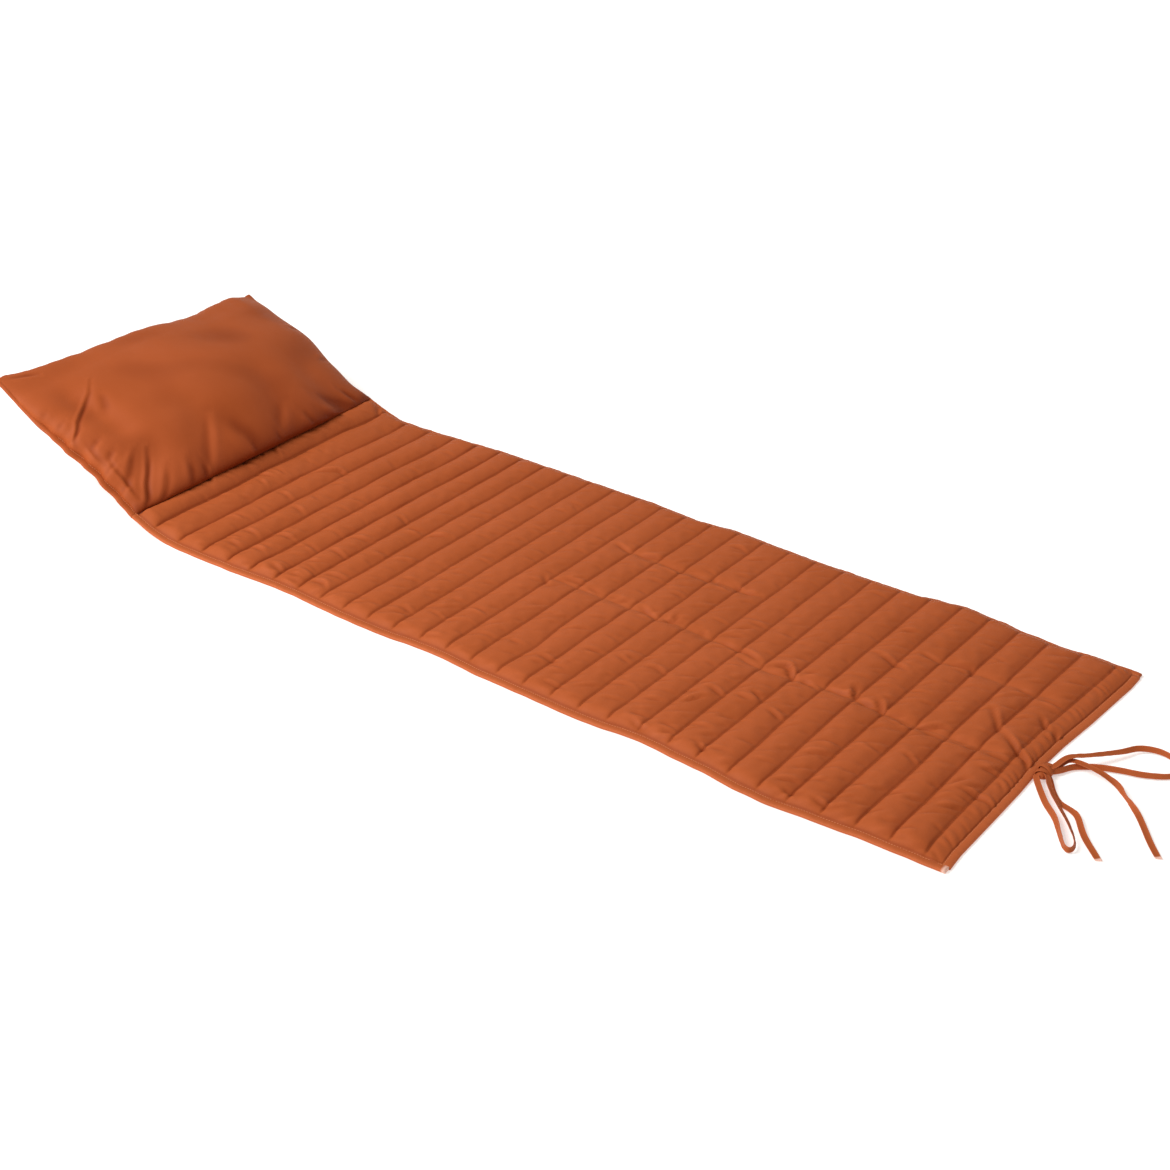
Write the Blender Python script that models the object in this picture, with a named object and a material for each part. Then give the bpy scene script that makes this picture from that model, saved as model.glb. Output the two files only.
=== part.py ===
# Quilted sun lounger cushion with a sewn-on head pillow and a ribbon tie, lying on a floor.
# Metres. +X runs towards the foot, +Y to the far side, +Z up. The origin is under the middle.
import math

import bmesh
import bpy
import numpy as np

# Driving sizes of the mat
CUSHION_WIDTH = 0.600
SEAM_X = -0.6146              # the seam between the pillow and the mat
CHANNEL_COUNT = 29
FIRST_STRIP = 0.0410          # the narrow channel beside the pillow
HEAD_PITCH = 0.0568           # the three channels after it
CHANNEL_PITCH = 0.0515        # the others
FOOT_BAND = 0.0269            # flat puckered band after the last channel
STITCH_THICKNESS = 0.0065     # through a row of stitches
CROWN_THICKNESS = 0.0170      # at the top of a channel
EDGE_THICKNESS = 0.0045       # where the cloths meet the binding
UNDERSIDE_GROOVE = 0.0022
SEAM_LIFT = 0.0200            # how far the pillow lifts the mat's head end
LIFT_LENGTH = 0.0850

# Driving sizes of the binding
BINDING_WIDTH = 0.0130
BINDING_THICKNESS = 0.0048
GAP = 0.0003

# Driving sizes of the pillow
PILLOW_RUN = 0.3150           # along the floor, from the seam to the outer edge
PILLOW_RISE = 0.1440
PILLOW_RIM = 0.0040           # both cloths together
CROWN_ABOVE = 0.0720
CROWN_BELOW = 0.1060
CROWN_POWER = 0.56            # lower is fuller at the edges
PILLOW_ROWS = 18
PILLOW_COLUMNS = 24

# Driving sizes of the ribbon
RIBBON_WIDTH = 0.0088
RIBBON_THICKNESS = 0.0012
RIBBON_STEP = 0.0160

# The mat's two side edges: distance from the seam, how far the edge stands out
NEAR_EDGE = (
    (0.000, 0.001), (0.050, 0.003), (0.105, 0.006), (0.150, 0.006), (0.220, 0.005),
    (0.340, -0.002), (0.470, 0.003), (0.540, 0.004), (0.660, -0.003), (0.770, 0.003),
    (0.950, 0.005), (1.050, -0.003), (1.150, 0.004), (1.220, 0.012), (1.270, 0.014),
    (1.350, 0.008), (1.420, 0.003), (1.539, 0.001),
)
FAR_EDGE = (
    (0.000, -0.007), (0.050, -0.010), (0.105, -0.012), (0.150, -0.012), (0.220, -0.006),
    (0.320, 0.001), (0.470, 0.002), (0.640, 0.003), (0.746, -0.003), (0.820, 0.005),
    (0.920, 0.000), (0.980, -0.002), (1.150, -0.001), (1.200, 0.008), (1.247, 0.014),
    (1.300, 0.008), (1.360, 0.000), (1.410, -0.004), (1.470, 0.001), (1.539, -0.002),
)
# The foot edge: share of the width from the near side, how far the edge stands out
FOOT_EDGE = (
    (0.000, -0.001), (0.060, -0.004), (0.250, -0.005), (0.360, -0.006), (0.475, -0.009),
    (0.600, -0.007), (0.735, -0.001), (0.945, 0.005), (1.000, 0.004),
)
# Creases that run along the mat: share of the width, first and last distance from the seam, depth
LONG_CREASES = (
    (0.475, 0.69, 1.49, 0.0045),
    (0.735, 0.68, 0.99, 0.0045),
    (0.760, 1.24, 1.48, 0.0030),
)
# The pillow's edges: share of the way round, how far the edge is lifted, how far it stands out
PILLOW_NEAR_EDGE = (
    (0.00, 0.000, 0.001), (0.15, 0.001, -0.003), (0.32, 0.010, 0.000),
    (0.60, 0.006, 0.000), (0.85, 0.008, 0.000), (1.00, 0.019, 0.004),
)
PILLOW_FAR_EDGE = (
    (0.00, 0.000, -0.007), (0.15, -0.006, -0.010), (0.30, -0.006, -0.006),
    (0.52, 0.001, 0.000), (0.80, -0.004, -0.004), (1.00, -0.012, -0.002),
)
PILLOW_OUTER_EDGE = (
    (0.00, 0.019, 0.006), (0.14, 0.013, 0.002), (0.30, 0.010, -0.001),
    (0.50, 0.009, -0.003), (0.72, -0.004, -0.004), (0.90, -0.001, -0.001), (1.00, -0.012, 0.000),
)
# Soft folds in the pillow's top: first and last place (share of length, share of width), depth, width
PILLOW_FOLDS = (
    ((0.72, 0.12), (0.40, 0.13), 0.0070, 0.030),
    ((0.10, 0.07), (0.22, 0.16), 0.0060, 0.028),
    ((0.05, 0.30), (0.30, 0.36), 0.0045, 0.040),
    ((0.05, 0.62), (0.34, 0.66), 0.0050, 0.045),
    ((0.06, 0.86), (0.24, 0.84), 0.0050, 0.035),
)

# The ribbon's routes: x past the mat's foot line, y, height of the middle, lean of its width from flat in degrees
LOOP_LONG = (
    (0.0094, -0.0112, 0.0136, 2), (0.0176, 0.0128, 0.0180, 4), (0.0389, 0.0372, 0.0165, 6),
    (0.0652, 0.0788, 0.0100, 22), (0.0806, 0.1060, 0.0074, 50), (0.1026, 0.1170, 0.0068, 72),
    (0.1246, 0.1150, 0.0066, 82), (0.1426, 0.1020, 0.0066, 90), (0.1496, 0.0840, 0.0066, 96),
    (0.1396, 0.0670, 0.0066, 102), (0.1116, 0.0510, 0.0066, 108), (0.0826, 0.0420, 0.0066, 112),
    (0.0546, 0.0310, 0.0062, 118), (0.0286, 0.0125, 0.0062, 120), (0.0161, -0.0110, 0.0076, 110),
)
TAIL_LONG = (
    (0.0103, -0.0062, 0.0088, 4), (0.0176, 0.0110, 0.0122, 8), (0.0326, 0.0150, 0.0140, 10),
    (0.0596, 0.0125, 0.0135, 12), (0.0786, 0.0110, 0.0095, 16), (0.0956, 0.0060, 0.0066, 45),
    (0.1156, -0.0120, 0.0064, 86), (0.1296, -0.0240, 0.0060, 60), (0.1476, -0.0410, 0.0036, 18),
    (0.1806, -0.0820, 0.0026, 10), (0.2026, -0.1060, 0.0018, 6),
)
LOOP_SHORT = (
    (-0.0011, -0.0470, 0.0092, 22), (0.0316, -0.0880, 0.0080, 30), (0.0596, -0.1140, 0.0068, 50),
    (0.0836, -0.1470, 0.0066, 70), (0.0956, -0.1620, 0.0066, 80), (0.1041, -0.1655, 0.0066, 84),
    (0.1066, -0.1560, 0.0066, 78), (0.0996, -0.1400, 0.0066, 60), (0.0756, -0.1100, 0.0066, 40),
    (0.0476, -0.0830, 0.0088, 30), (0.0256, -0.0600, 0.0118, 25), (0.0134, -0.0416, 0.0125, 22),
)
TAIL_SHORT = (
    (0.0131, -0.0335, 0.0034, 8), (0.0296, -0.0560, 0.0022, 8), (0.0466, -0.0720, 0.0022, 8),
    (0.0666, -0.0790, 0.0026, 14), (0.0816, -0.0900, 0.0038, 30), (0.1066, -0.1230, 0.0034, 20),
    (0.1426, -0.1570, 0.0018, 6),
)
KNOT_MIDDLE = (0.0012, -0.0245, 0.0078)
KNOT_HALF_SIZE = (0.0109, 0.0200, 0.0076)

# Colours, as linear red, green, blue
CLOTH_COLOUR = (0.440, 0.108, 0.035)
PILLOW_COLOUR = (0.400, 0.094, 0.029)
BINDING_COLOUR = (0.510, 0.130, 0.048)
RIBBON_COLOUR = (0.470, 0.118, 0.040)


def clear_scene():
    for thing in list(bpy.data.objects):
        bpy.data.objects.remove(thing)


def cloth_material(name, colour, roughness):
    material = bpy.data.materials.new(name)
    material.use_nodes = True
    shader = material.node_tree.nodes["Principled BSDF"]
    shader.inputs["Base Color"].default_value = (*colour, 1.0)
    shader.inputs["Roughness"].default_value = roughness
    shader.inputs["Metallic"].default_value = 0.0
    material.diffuse_color = (*colour, 1.0)
    return material


def soft_step(value):
    value = min(max(value, 0.0), 1.0)
    return value * value * (3 - 2 * value)


def read_table(table, place, column=1):
    """The table's column at this place, eased from row to row."""
    for low, high in zip(table, table[1:]):
        if place <= high[0]:
            share = soft_step((place - low[0]) / (high[0] - low[0]))
            return low[column] + (high[column] - low[column]) * share
    return table[-1][column]


def cap_faces(top_shares, under_shares):
    """Closes a ring of top points and, back again, under points, one face for each under step."""
    count = len(top_shares) + len(under_shares)
    faces = []
    for k, (low, high) in enumerate(zip(under_shares, under_shares[1:])):
        above = [i for i, share in enumerate(top_shares) if low <= share <= high]
        faces.append(above + [count - 2 - k, count - 1 - k])
    return faces


def loft(name, rings, material, caps=None):
    """A closed solid through rings of points, with caps on its first and last ring."""
    count = len(rings[0])
    caps = caps or [list(range(count))]
    mesh = bmesh.new()
    rows = [[mesh.verts.new(point) for point in ring] for ring in rings]
    for low, high in zip(rows, rows[1:]):
        for i in range(count):
            after = (i + 1) % count
            mesh.faces.new((low[i], low[after], high[after], high[i]))
    for cap in caps:
        mesh.faces.new([rows[0][i] for i in reversed(cap)])
        mesh.faces.new([rows[-1][i] for i in cap])
    bmesh.ops.recalc_face_normals(mesh, faces=mesh.faces)
    data = bpy.data.meshes.new(name)
    mesh.to_mesh(data)
    mesh.free()
    data.shade_smooth()
    data.set_sharp_from_angle(angle=math.radians(55))
    data.materials.append(material)
    solid = bpy.data.objects.new(name, data)
    bpy.context.scene.collection.objects.link(solid)
    return solid


# Mat

LAST_ROW = FIRST_STRIP + 3 * HEAD_PITCH + (CHANNEL_COUNT - 4) * CHANNEL_PITCH
MAT_LENGTH = LAST_ROW + FOOT_BAND + BINDING_WIDTH
FOOT_X = SEAM_X + MAT_LENGTH
# Rows of stitches, and how far from the seam they are
ROW_PLACES = (0, 1, 4, CHANNEL_COUNT, CHANNEL_COUNT + 1)
ROW_DISTANCES = (0.0, FIRST_STRIP, FIRST_STRIP + 3 * HEAD_PITCH, LAST_ROW, LAST_ROW + CHANNEL_PITCH)
MAT_ACROSS = (0.0, 0.022, 0.06, 0.14, 0.25, 0.36, 0.452, 0.475, 0.498, 0.60,
              0.712, 0.735, 0.760, 0.785, 0.87, 0.945, 0.978, 1.0)
MAT_UNDER = tuple(share for share, _ in FOOT_EDGE)
WITHIN_CHANNEL = (0.0, 0.16, 0.5, 0.84)


def head_lift(distance):
    return SEAM_LIFT * max(0.0, 1 - distance / LIFT_LENGTH) ** 1.6


def channel_place(distance):
    """The distance from the seam, counted in channels."""
    return float(np.interp(distance, ROW_DISTANCES, ROW_PLACES))


def place_distance(place):
    return float(np.interp(place, ROW_PLACES, ROW_DISTANCES))


def edge_wave(table, distance):
    """The edge's offset, straight from one half channel to the next."""
    count = math.floor(2 * channel_place(distance) + 1e-9)
    low = place_distance(count / 2)
    high = place_distance((count + 1) / 2)
    return float(np.interp(distance, (low, high), (read_table(table, low), read_table(table, high))))


def near_line(distance):
    """The mat's near outer edge, over the binding."""
    return -CUSHION_WIDTH / 2 - edge_wave(NEAR_EDGE, distance)


def far_line(distance):
    return CUSHION_WIDTH / 2 + edge_wave(FAR_EDGE, distance)


def foot_shift(distance, across):
    """The foot edge's waves die out over the last three channels."""
    start = MAT_LENGTH - 3 * CHANNEL_PITCH
    fade = soft_step((distance - start) / (3 * CHANNEL_PITCH - 2 * BINDING_WIDTH))
    return fade * float(np.interp(across, *zip(*FOOT_EDGE)))


def channel_crown(distance):
    """0 at a row of stitches, 1 at the top of a channel; flat over the foot band."""
    place = channel_place(distance)
    if place >= CHANNEL_COUNT:
        return 0.25 * math.sin(math.pi * min((place - CHANNEL_COUNT) / 0.47, 1.0))
    return math.sin(math.pi * (place % 1.0)) ** 0.62


def crease_cut(distance, across):
    cut = 0.0
    for middle, first, last, depth in LONG_CREASES:
        ends = soft_step((distance - first) / 0.06) * soft_step((last - distance) / 0.06)
        cut += depth * ends * math.exp(-(((across - middle) / 0.016) ** 2))
    return cut


def mat_top(distance, across):
    side = min(across, 1 - across) * CUSHION_WIDTH
    padding = soft_step(side / 0.036)
    uneven = 1 + 0.10 * math.sin(9.0 * distance + 7.0 * across) * math.sin(4.3 * distance - 11.0 * across)
    full = STITCH_THICKNESS + (CROWN_THICKNESS - STITCH_THICKNESS) * channel_crown(distance) * uneven
    height = EDGE_THICKNESS + (full - EDGE_THICKNESS) * padding
    return height - crease_cut(distance, across) * channel_crown(distance)


def mat_distances():
    places = [i + share for i in range(CHANNEL_COUNT) for share in WITHIN_CHANNEL]
    foot = [CHANNEL_COUNT, CHANNEL_COUNT + 0.23]
    inner_end = MAT_LENGTH - BINDING_WIDTH - GAP
    return [place_distance(place) for place in places + foot] + [inner_end]


def mat_point(distance, across, height):
    low = near_line(distance) + BINDING_WIDTH + GAP
    high = far_line(distance) - BINDING_WIDTH - GAP
    x = SEAM_X + distance + foot_shift(distance, across)
    return (x, low + (high - low) * across, head_lift(distance) + height)


def build_mat():
    rings = []
    for distance in mat_distances():
        groove = UNDERSIDE_GROOVE * max(0.0, 1 - 6 * channel_crown(distance) ** 2)
        if channel_place(distance) > CHANNEL_COUNT + 0.02:
            groove = 0.0
        top = [mat_point(distance, across, mat_top(distance, across)) for across in MAT_ACROSS]
        under = []
        for across in reversed(MAT_UNDER):
            at_side = across in (0.0, 1.0)
            under.append(mat_point(distance, across, 0.0 if at_side else groove))
        rings.append(top + under)
    caps = cap_faces(MAT_ACROSS, MAT_UNDER)
    return loft("quilted_mat", rings, cloth_material("quilted cloth", CLOTH_COLOUR, 0.62), caps)


# Bindings of the mat

def side_binding(name, line, side):
    """A folded strip along one side of the mat; side is -1 near, 1 far."""
    rings = []
    half_channels = [place_distance(i / 2) for i in range(2 * CHANNEL_COUNT + 2)]
    for distance in half_channels + [MAT_LENGTH]:
        outer = line(distance)
        inner = outer - side * BINDING_WIDTH
        base = head_lift(distance)
        x = SEAM_X + distance + foot_shift(distance, 0.5 + 0.5 * side)
        profile = ((inner, 0.0), (inner, BINDING_THICKNESS), (outer - side * 0.0020, BINDING_THICKNESS - 0.0006),
                   (outer, 0.5 * BINDING_THICKNESS), (outer - side * 0.0015, 0.0))
        rings.append([(x, y, base + z) for y, z in profile])
    return loft(name, rings, cloth_material(name.replace("_", " "), BINDING_COLOUR, 0.60))


def foot_binding():
    rings = []
    ends = (MAT_LENGTH - BINDING_WIDTH, MAT_LENGTH)
    low = max(near_line(end) for end in ends) + BINDING_WIDTH + GAP
    high = min(far_line(end) for end in ends) - BINDING_WIDTH - GAP
    for across in MAT_UNDER:
        outer = FOOT_X + foot_shift(MAT_LENGTH, across)
        inner = outer - BINDING_WIDTH
        y = low + (high - low) * across
        profile = ((inner, 0.0), (inner, BINDING_THICKNESS), (outer - 0.0020, BINDING_THICKNESS - 0.0006),
                   (outer, 0.5 * BINDING_THICKNESS), (outer - 0.0015, 0.0))
        rings.append([(x, y, z) for x, z in profile])
    return loft("mat_binding_foot", rings, cloth_material("mat binding foot", BINDING_COLOUR, 0.60))


# Pillow

PILLOW_TILT = math.atan2(PILLOW_RISE, PILLOW_RUN)
PILLOW_UP = np.array((math.sin(PILLOW_TILT), 0.0, math.cos(PILLOW_TILT)))
PILLOW_ALONG = np.array((-math.cos(PILLOW_TILT), 0.0, math.sin(PILLOW_TILT)))
PILLOW_LENGTH = math.hypot(PILLOW_RUN, PILLOW_RISE)


def edge_blend(share, across, column):
    """Mixes the three free edges' tables over the pillow; the seam edge is straight."""
    near = read_table(PILLOW_NEAR_EDGE, share, column)
    far = read_table(PILLOW_FAR_EDGE, share, column)
    sides = near * (1 - across) + far * across
    outer = read_table(PILLOW_OUTER_EDGE, across, column)
    corner = (read_table(PILLOW_NEAR_EDGE, 1.0, column) * (1 - across)
              + read_table(PILLOW_FAR_EDGE, 1.0, column) * across)
    return sides + share * share * (outer - corner)


def rim_point(share, across, grow=0.0):
    """A point of the pillow's middle surface; grow moves it out of the pillow's edge."""
    lift = edge_blend(share, across, 1)
    stretch = read_table(PILLOW_OUTER_EDGE, across, 2) * share * share
    near = -CUSHION_WIDTH / 2 - read_table(PILLOW_NEAR_EDGE, share, 2)
    far = CUSHION_WIDTH / 2 + read_table(PILLOW_FAR_EDGE, share, 2)
    inset = BINDING_WIDTH + GAP - grow
    y = near + inset + (far - near - 2 * inset) * across
    along = (PILLOW_LENGTH + stretch - inset) * share
    start = np.array((SEAM_X - 0.0016, 0.0, SEAM_LIFT + 0.5 * PILLOW_RIM + 0.0004))
    point = start + PILLOW_ALONG * along
    point[1] = y
    point[2] += lift
    return point


def pillow_fullness(share, across):
    along = max(0.0, 4 * share * (1 - share))
    wide = max(0.0, 4 * across * (1 - across))
    return (along * wide) ** CROWN_POWER


def pillow_fold(share, across):
    """How far the soft folds draw the top in."""
    place = np.array((share * PILLOW_LENGTH, across * CUSHION_WIDTH))
    cut = 0.0
    for first, last, depth, width in PILLOW_FOLDS:
        start = np.array((first[0] * PILLOW_LENGTH, first[1] * CUSHION_WIDTH))
        end = np.array((last[0] * PILLOW_LENGTH, last[1] * CUSHION_WIDTH))
        line = end - start
        slide = np.clip(np.dot(place - start, line) / np.dot(line, line), 0.0, 1.0)
        away = np.linalg.norm(place - start - line * slide)
        cut += depth * math.exp(-((away / width) ** 2))
    return cut


def eased(count):
    """Shares from 0 to 1, closer together at both ends."""
    return [0.5 - 0.5 * math.cos(math.pi * i / count) for i in range(count + 1)]


def build_pillow():
    rings = []
    for share in eased(PILLOW_ROWS):
        top = []
        under = []
        for across in eased(PILLOW_COLUMNS):
            middle = rim_point(share, across)
            full = pillow_fullness(share, across)
            fold = pillow_fold(share, across) * min(1.0, 3 * full)
            above = 0.5 * PILLOW_RIM + max(0.0, CROWN_ABOVE * full - fold)
            below = 0.5 * PILLOW_RIM + CROWN_BELOW * full
            top.append(middle + PILLOW_UP * above)
            low = middle - PILLOW_UP * below
            low[2] = max(low[2], 0.0)
            under.append(low)
        rings.append([tuple(point) for point in top + under[::-1]])
    caps = cap_faces(eased(PILLOW_COLUMNS), eased(PILLOW_COLUMNS))
    return loft("head_pillow", rings, cloth_material("pillow cloth", PILLOW_COLOUR, 0.58), caps)


# Bindings of the pillow

def pillow_binding(name, places, out_along, out_across):
    """A folded strip outside one edge of the pillow, in the plane of its rim."""
    outward = PILLOW_ALONG * out_along + np.array((0.0, 1.0, 0.0)) * out_across
    half = 0.5 * BINDING_THICKNESS
    rings = []
    for share, across, pull in places:
        inner = rim_point(share, across) + outward * GAP + PILLOW_ALONG * pull
        profile = ((0.0, -half), (0.0, half), (BINDING_WIDTH - 0.0020, half - 0.0006),
                   (BINDING_WIDTH, 0.0), (BINDING_WIDTH - 0.0020, 0.0006 - half))
        rings.append([tuple(inner + outward * out + PILLOW_UP * up) for out, up in profile])
    return loft(name, rings, cloth_material(name.replace("_", " "), BINDING_COLOUR, 0.60))


def build_pillow_bindings():
    for name, across, side in (("pillow_binding_near", 0.0, -1), ("pillow_binding_far", 1.0, 1)):
        places = [(share, across, 0.0) for share in eased(PILLOW_ROWS)]
        places.append((1.0, across, BINDING_WIDTH))
        pillow_binding(name, places, 0.0, side)
    outer = [(1.0, across, 0.0) for across in eased(PILLOW_COLUMNS)]
    pillow_binding("pillow_binding_outer", outer, 1.0, 0.0)


# Ribbon tie

def smooth_route(table, step):
    """Points a step apart on a smooth curve through the table's rows."""
    rows = [np.array((row[0] + FOOT_X, *row[1:])) for row in table]
    rows = [2 * rows[0] - rows[1], *rows, 2 * rows[-1] - rows[-2]]
    fine = []
    for a, b, c, d in zip(rows, rows[1:], rows[2:], rows[3:]):
        for i in range(12):
            t = i / 12
            fine.append(0.5 * (2 * b + (c - a) * t + (2 * a - 5 * b + 4 * c - d) * t ** 2
                               + (3 * b - a - 3 * c + d) * t ** 3))
    fine.append(rows[-2])
    fine = np.array(fine)
    run = np.concatenate([[0.0], np.cumsum(np.linalg.norm(np.diff(fine[:, :3], axis=0), axis=1))])
    count = max(2, round(run[-1] / step))
    marks = np.linspace(0.0, run[-1], count + 1)
    return np.array([[np.interp(mark, run, fine[:, k]) for k in range(4)] for mark in marks])


def ribbon(name, table):
    points = smooth_route(table, RIBBON_STEP)
    ahead = np.gradient(points[:, :3], axis=0)
    rings = []
    for point, way in zip(points, ahead):
        way = way / np.linalg.norm(way)
        flat = np.cross((0.0, 0.0, 1.0), way)
        flat = flat / np.linalg.norm(flat)
        up = np.cross(way, flat)
        lean = math.radians(point[3])
        wide = 0.5 * RIBBON_WIDTH * (math.cos(lean) * flat + math.sin(lean) * up)
        thick = 0.5 * RIBBON_THICKNESS * (math.cos(lean) * up - math.sin(lean) * flat)
        middle = point[:3]
        rings.append([tuple(middle + a * wide + b * thick) for a, b in ((-1, -1), (1, -1), (1, 1), (-1, 1))])
    return loft(name, rings, cloth_material(name.replace("_", " "), RIBBON_COLOUR, 0.60))


def build_knot():
    """A knot drawn tight: a rounded lump with two raised wraps, flat below."""
    rings = []
    around = 14
    for share in eased(12)[1:-1]:
        slide = 2 * share - 1
        wrap = 1 + 0.10 * math.cos(2 * math.pi * 2.0 * slide)
        size = math.sqrt(1 - slide * slide) ** 0.7 * wrap
        ring = []
        for k in range(around):
            turn = 2 * math.pi * k / around
            x = FOOT_X + KNOT_MIDDLE[0] + KNOT_HALF_SIZE[0] * size * math.cos(turn)
            z = max(0.0, KNOT_MIDDLE[2] + KNOT_HALF_SIZE[2] * size * math.sin(turn))
            ring.append((x, KNOT_MIDDLE[1] + KNOT_HALF_SIZE[1] * slide, z))
        rings.append(ring)
    return loft("tie_knot", rings, cloth_material("tie knot", RIBBON_COLOUR, 0.60))


def build():
    clear_scene()
    build_mat()
    side_binding("mat_binding_near", near_line, -1)
    side_binding("mat_binding_far", far_line, 1)
    foot_binding()
    build_pillow()
    build_pillow_bindings()
    build_knot()
    ribbon("tie_loop_long", LOOP_LONG)
    ribbon("tie_loop_short", LOOP_SHORT)
    ribbon("tie_tail_long", TAIL_LONG)
    ribbon("tie_tail_short", TAIL_SHORT)


build()
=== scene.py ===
# Dresses the lounger cushion: quilted mat, stuffed head pillow, folded bindings and the ribbon tie.
# Metres, x to the foot, y to the far side. The crease lists are in millimetres from the pillow seam
# and from the middle line.
import math

import bpy
import numpy as np
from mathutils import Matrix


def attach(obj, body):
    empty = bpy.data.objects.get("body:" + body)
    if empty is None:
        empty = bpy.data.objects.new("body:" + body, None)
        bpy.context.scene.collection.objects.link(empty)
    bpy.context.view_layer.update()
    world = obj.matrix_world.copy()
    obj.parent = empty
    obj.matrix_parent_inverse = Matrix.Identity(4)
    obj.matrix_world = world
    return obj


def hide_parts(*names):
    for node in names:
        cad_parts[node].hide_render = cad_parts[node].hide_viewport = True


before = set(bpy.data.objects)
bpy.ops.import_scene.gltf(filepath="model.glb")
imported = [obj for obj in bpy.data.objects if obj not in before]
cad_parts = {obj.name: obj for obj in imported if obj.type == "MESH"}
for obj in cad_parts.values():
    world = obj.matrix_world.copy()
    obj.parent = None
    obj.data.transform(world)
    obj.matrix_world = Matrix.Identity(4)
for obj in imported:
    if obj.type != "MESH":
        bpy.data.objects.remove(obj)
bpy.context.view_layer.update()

scene = bpy.context.scene
print("stage: frame loaded")


# Helpers

def ease(value):
    value = np.clip(value, 0.0, 1.0)
    return value * value * (3 - 2 * value)


def readTable(table, place, column=1):
    # Eased from one row of the table to the next
    rows = np.array(table, dtype=float)
    place = np.clip(np.asarray(place, dtype=float), rows[0, 0], rows[-1, 0])
    low = np.clip(np.searchsorted(rows[:, 0], place, side="left") - 1, 0, len(rows) - 2)
    share = ease((place - rows[low, 0]) / (rows[low + 1, 0] - rows[low, 0]))
    return rows[low, column] + (rows[low + 1, column] - rows[low, column]) * share


def softNoise(x, y, size, seed, waves=14):
    # Plane waves of about this size added up, mostly between -1 and 1
    draw = np.random.default_rng(seed)
    total = np.zeros(np.broadcast(x, y).shape)
    for _ in range(waves):
        turn = draw.uniform(0, 2 * math.pi)
        length = size * draw.uniform(0.7, 1.6)
        phase = draw.uniform(0, 2 * math.pi)
        total += np.sin(2 * math.pi * (x * math.cos(turn) + y * math.sin(turn)) / length + phase)
    return total / math.sqrt(2 * waves)


def lineNoise(run, size, seed, waves=14):
    return softNoise(run, 0 * run, size, seed, waves)


crease = {
    "fullLength": 0.026,         # shorter creases are shallower
    "margin": 0.012,             # past the crease on all sides, what is looked at
    "fading": 0.35,              # of the length, at each end
    "endDepth": 0.25,            # share of the depth that is left at the ends
    "ridge": 0.75,               # its height, as a share of the depth
    "ridgePlace": 1.65,          # in widths from the line, and so are the next two
    "ridgeReach": 5,
    "ridgeFade": 2.2,
}


def pressCreases(height, along, across, creases):
    # A crease is (depth, width, point, point, ...) in millimetres: a soft trough that fades at both
    # ends, with a low ridge on its left side, or on its right side where the width is negative
    rowPlace = along.mean(axis=1)
    columnPlace = across.mean(axis=0)
    for depth, width, *points in creases:
        side = 1.0 if width > 0 else -1.0
        width = 0.001 * abs(width)
        line = 0.001 * np.array(points, dtype=float)
        reach = 4 * width + crease["margin"]
        low = line.min(axis=0) - reach
        high = line.max(axis=0) + reach
        rows = slice(*np.searchsorted(rowPlace, (low[0], high[0])))
        columns = slice(*np.searchsorted(columnPlace, (low[1], high[1])))
        x = along[rows, columns]
        y = across[rows, columns]
        if x.size == 0:
            continue
        runs = np.hypot(*np.diff(line, axis=0).T)
        whole = runs.sum()
        depth = depth * min(1.0, whole / crease["fullLength"])
        nearest = np.full(x.shape, 1e9)
        signed = np.zeros(x.shape)
        fade = np.zeros(x.shape)
        before = 0.0
        for start, end, run in zip(line, line[1:], runs):
            way = (end - start) / run
            slide = np.clip((x - start[0]) * way[0] + (y - start[1]) * way[1], 0.0, run)
            offX = x - start[0] - way[0] * slide
            offY = y - start[1] - way[1] * slide
            away = np.hypot(offX, offY)
            closer = away < nearest
            nearest = np.where(closer, away, nearest)
            signed = np.where(closer, away * np.sign(way[0] * offY - way[1] * offX), signed)
            place = (before + slide) / whole
            ends = ease(place / crease["fading"]) * ease((1 - place) / crease["fading"])
            fade = np.where(closer, ends * (1 - crease["endDepth"]) + crease["endDepth"], fade)
            before += run
        trough = -np.exp(-(nearest / width) ** 2)
        ridge = crease["ridge"] * np.exp(-((side * signed - crease["ridgePlace"] * width) / width) ** 2)
        ridge = ridge * (nearest < crease["ridgeReach"] * width)
        around = np.exp(-(nearest / (crease["ridgeFade"] * width)) ** 2)
        height[rows, columns] += 0.001 * depth * fade * (trough + ridge * np.sqrt(around))


def doubleGrid(grid):
    # Puts a new row and column halfway between the old ones, on a smooth curve
    for axis in (0, 1):
        grid = np.moveaxis(grid, axis, 0)
        padded = np.concatenate([2 * grid[:1] - grid[1:2], grid, 2 * grid[-1:] - grid[-2:-1]])
        middle = (9 * (padded[1:-2] + padded[2:-1]) - padded[:-3] - padded[3:]) / 16
        finer = np.empty((2 * len(grid) - 1,) + grid.shape[1:])
        finer[0::2] = grid
        finer[1::2] = middle
        grid = np.moveaxis(finer, 0, axis)
    return grid


def makePiece(name, points, faces, finish, slot, node=None, attributes=()):
    mesh = bpy.data.meshes.new(name)
    mesh.from_pydata(np.asarray(points).tolist(), [], faces)
    mesh.validate()
    mesh.shade_smooth()
    mesh.materials.append(cloths[finish])
    for label, values in attributes:
        layer = mesh.attributes.new(label, "FLOAT", "POINT")
        layer.data.foreach_set("value", np.asarray(values, dtype=np.float32))
    piece = bpy.data.objects.new(name, mesh)
    scene.collection.objects.link(piece)
    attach(piece, "root")
    if node:
        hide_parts(node)
    return piece


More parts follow.
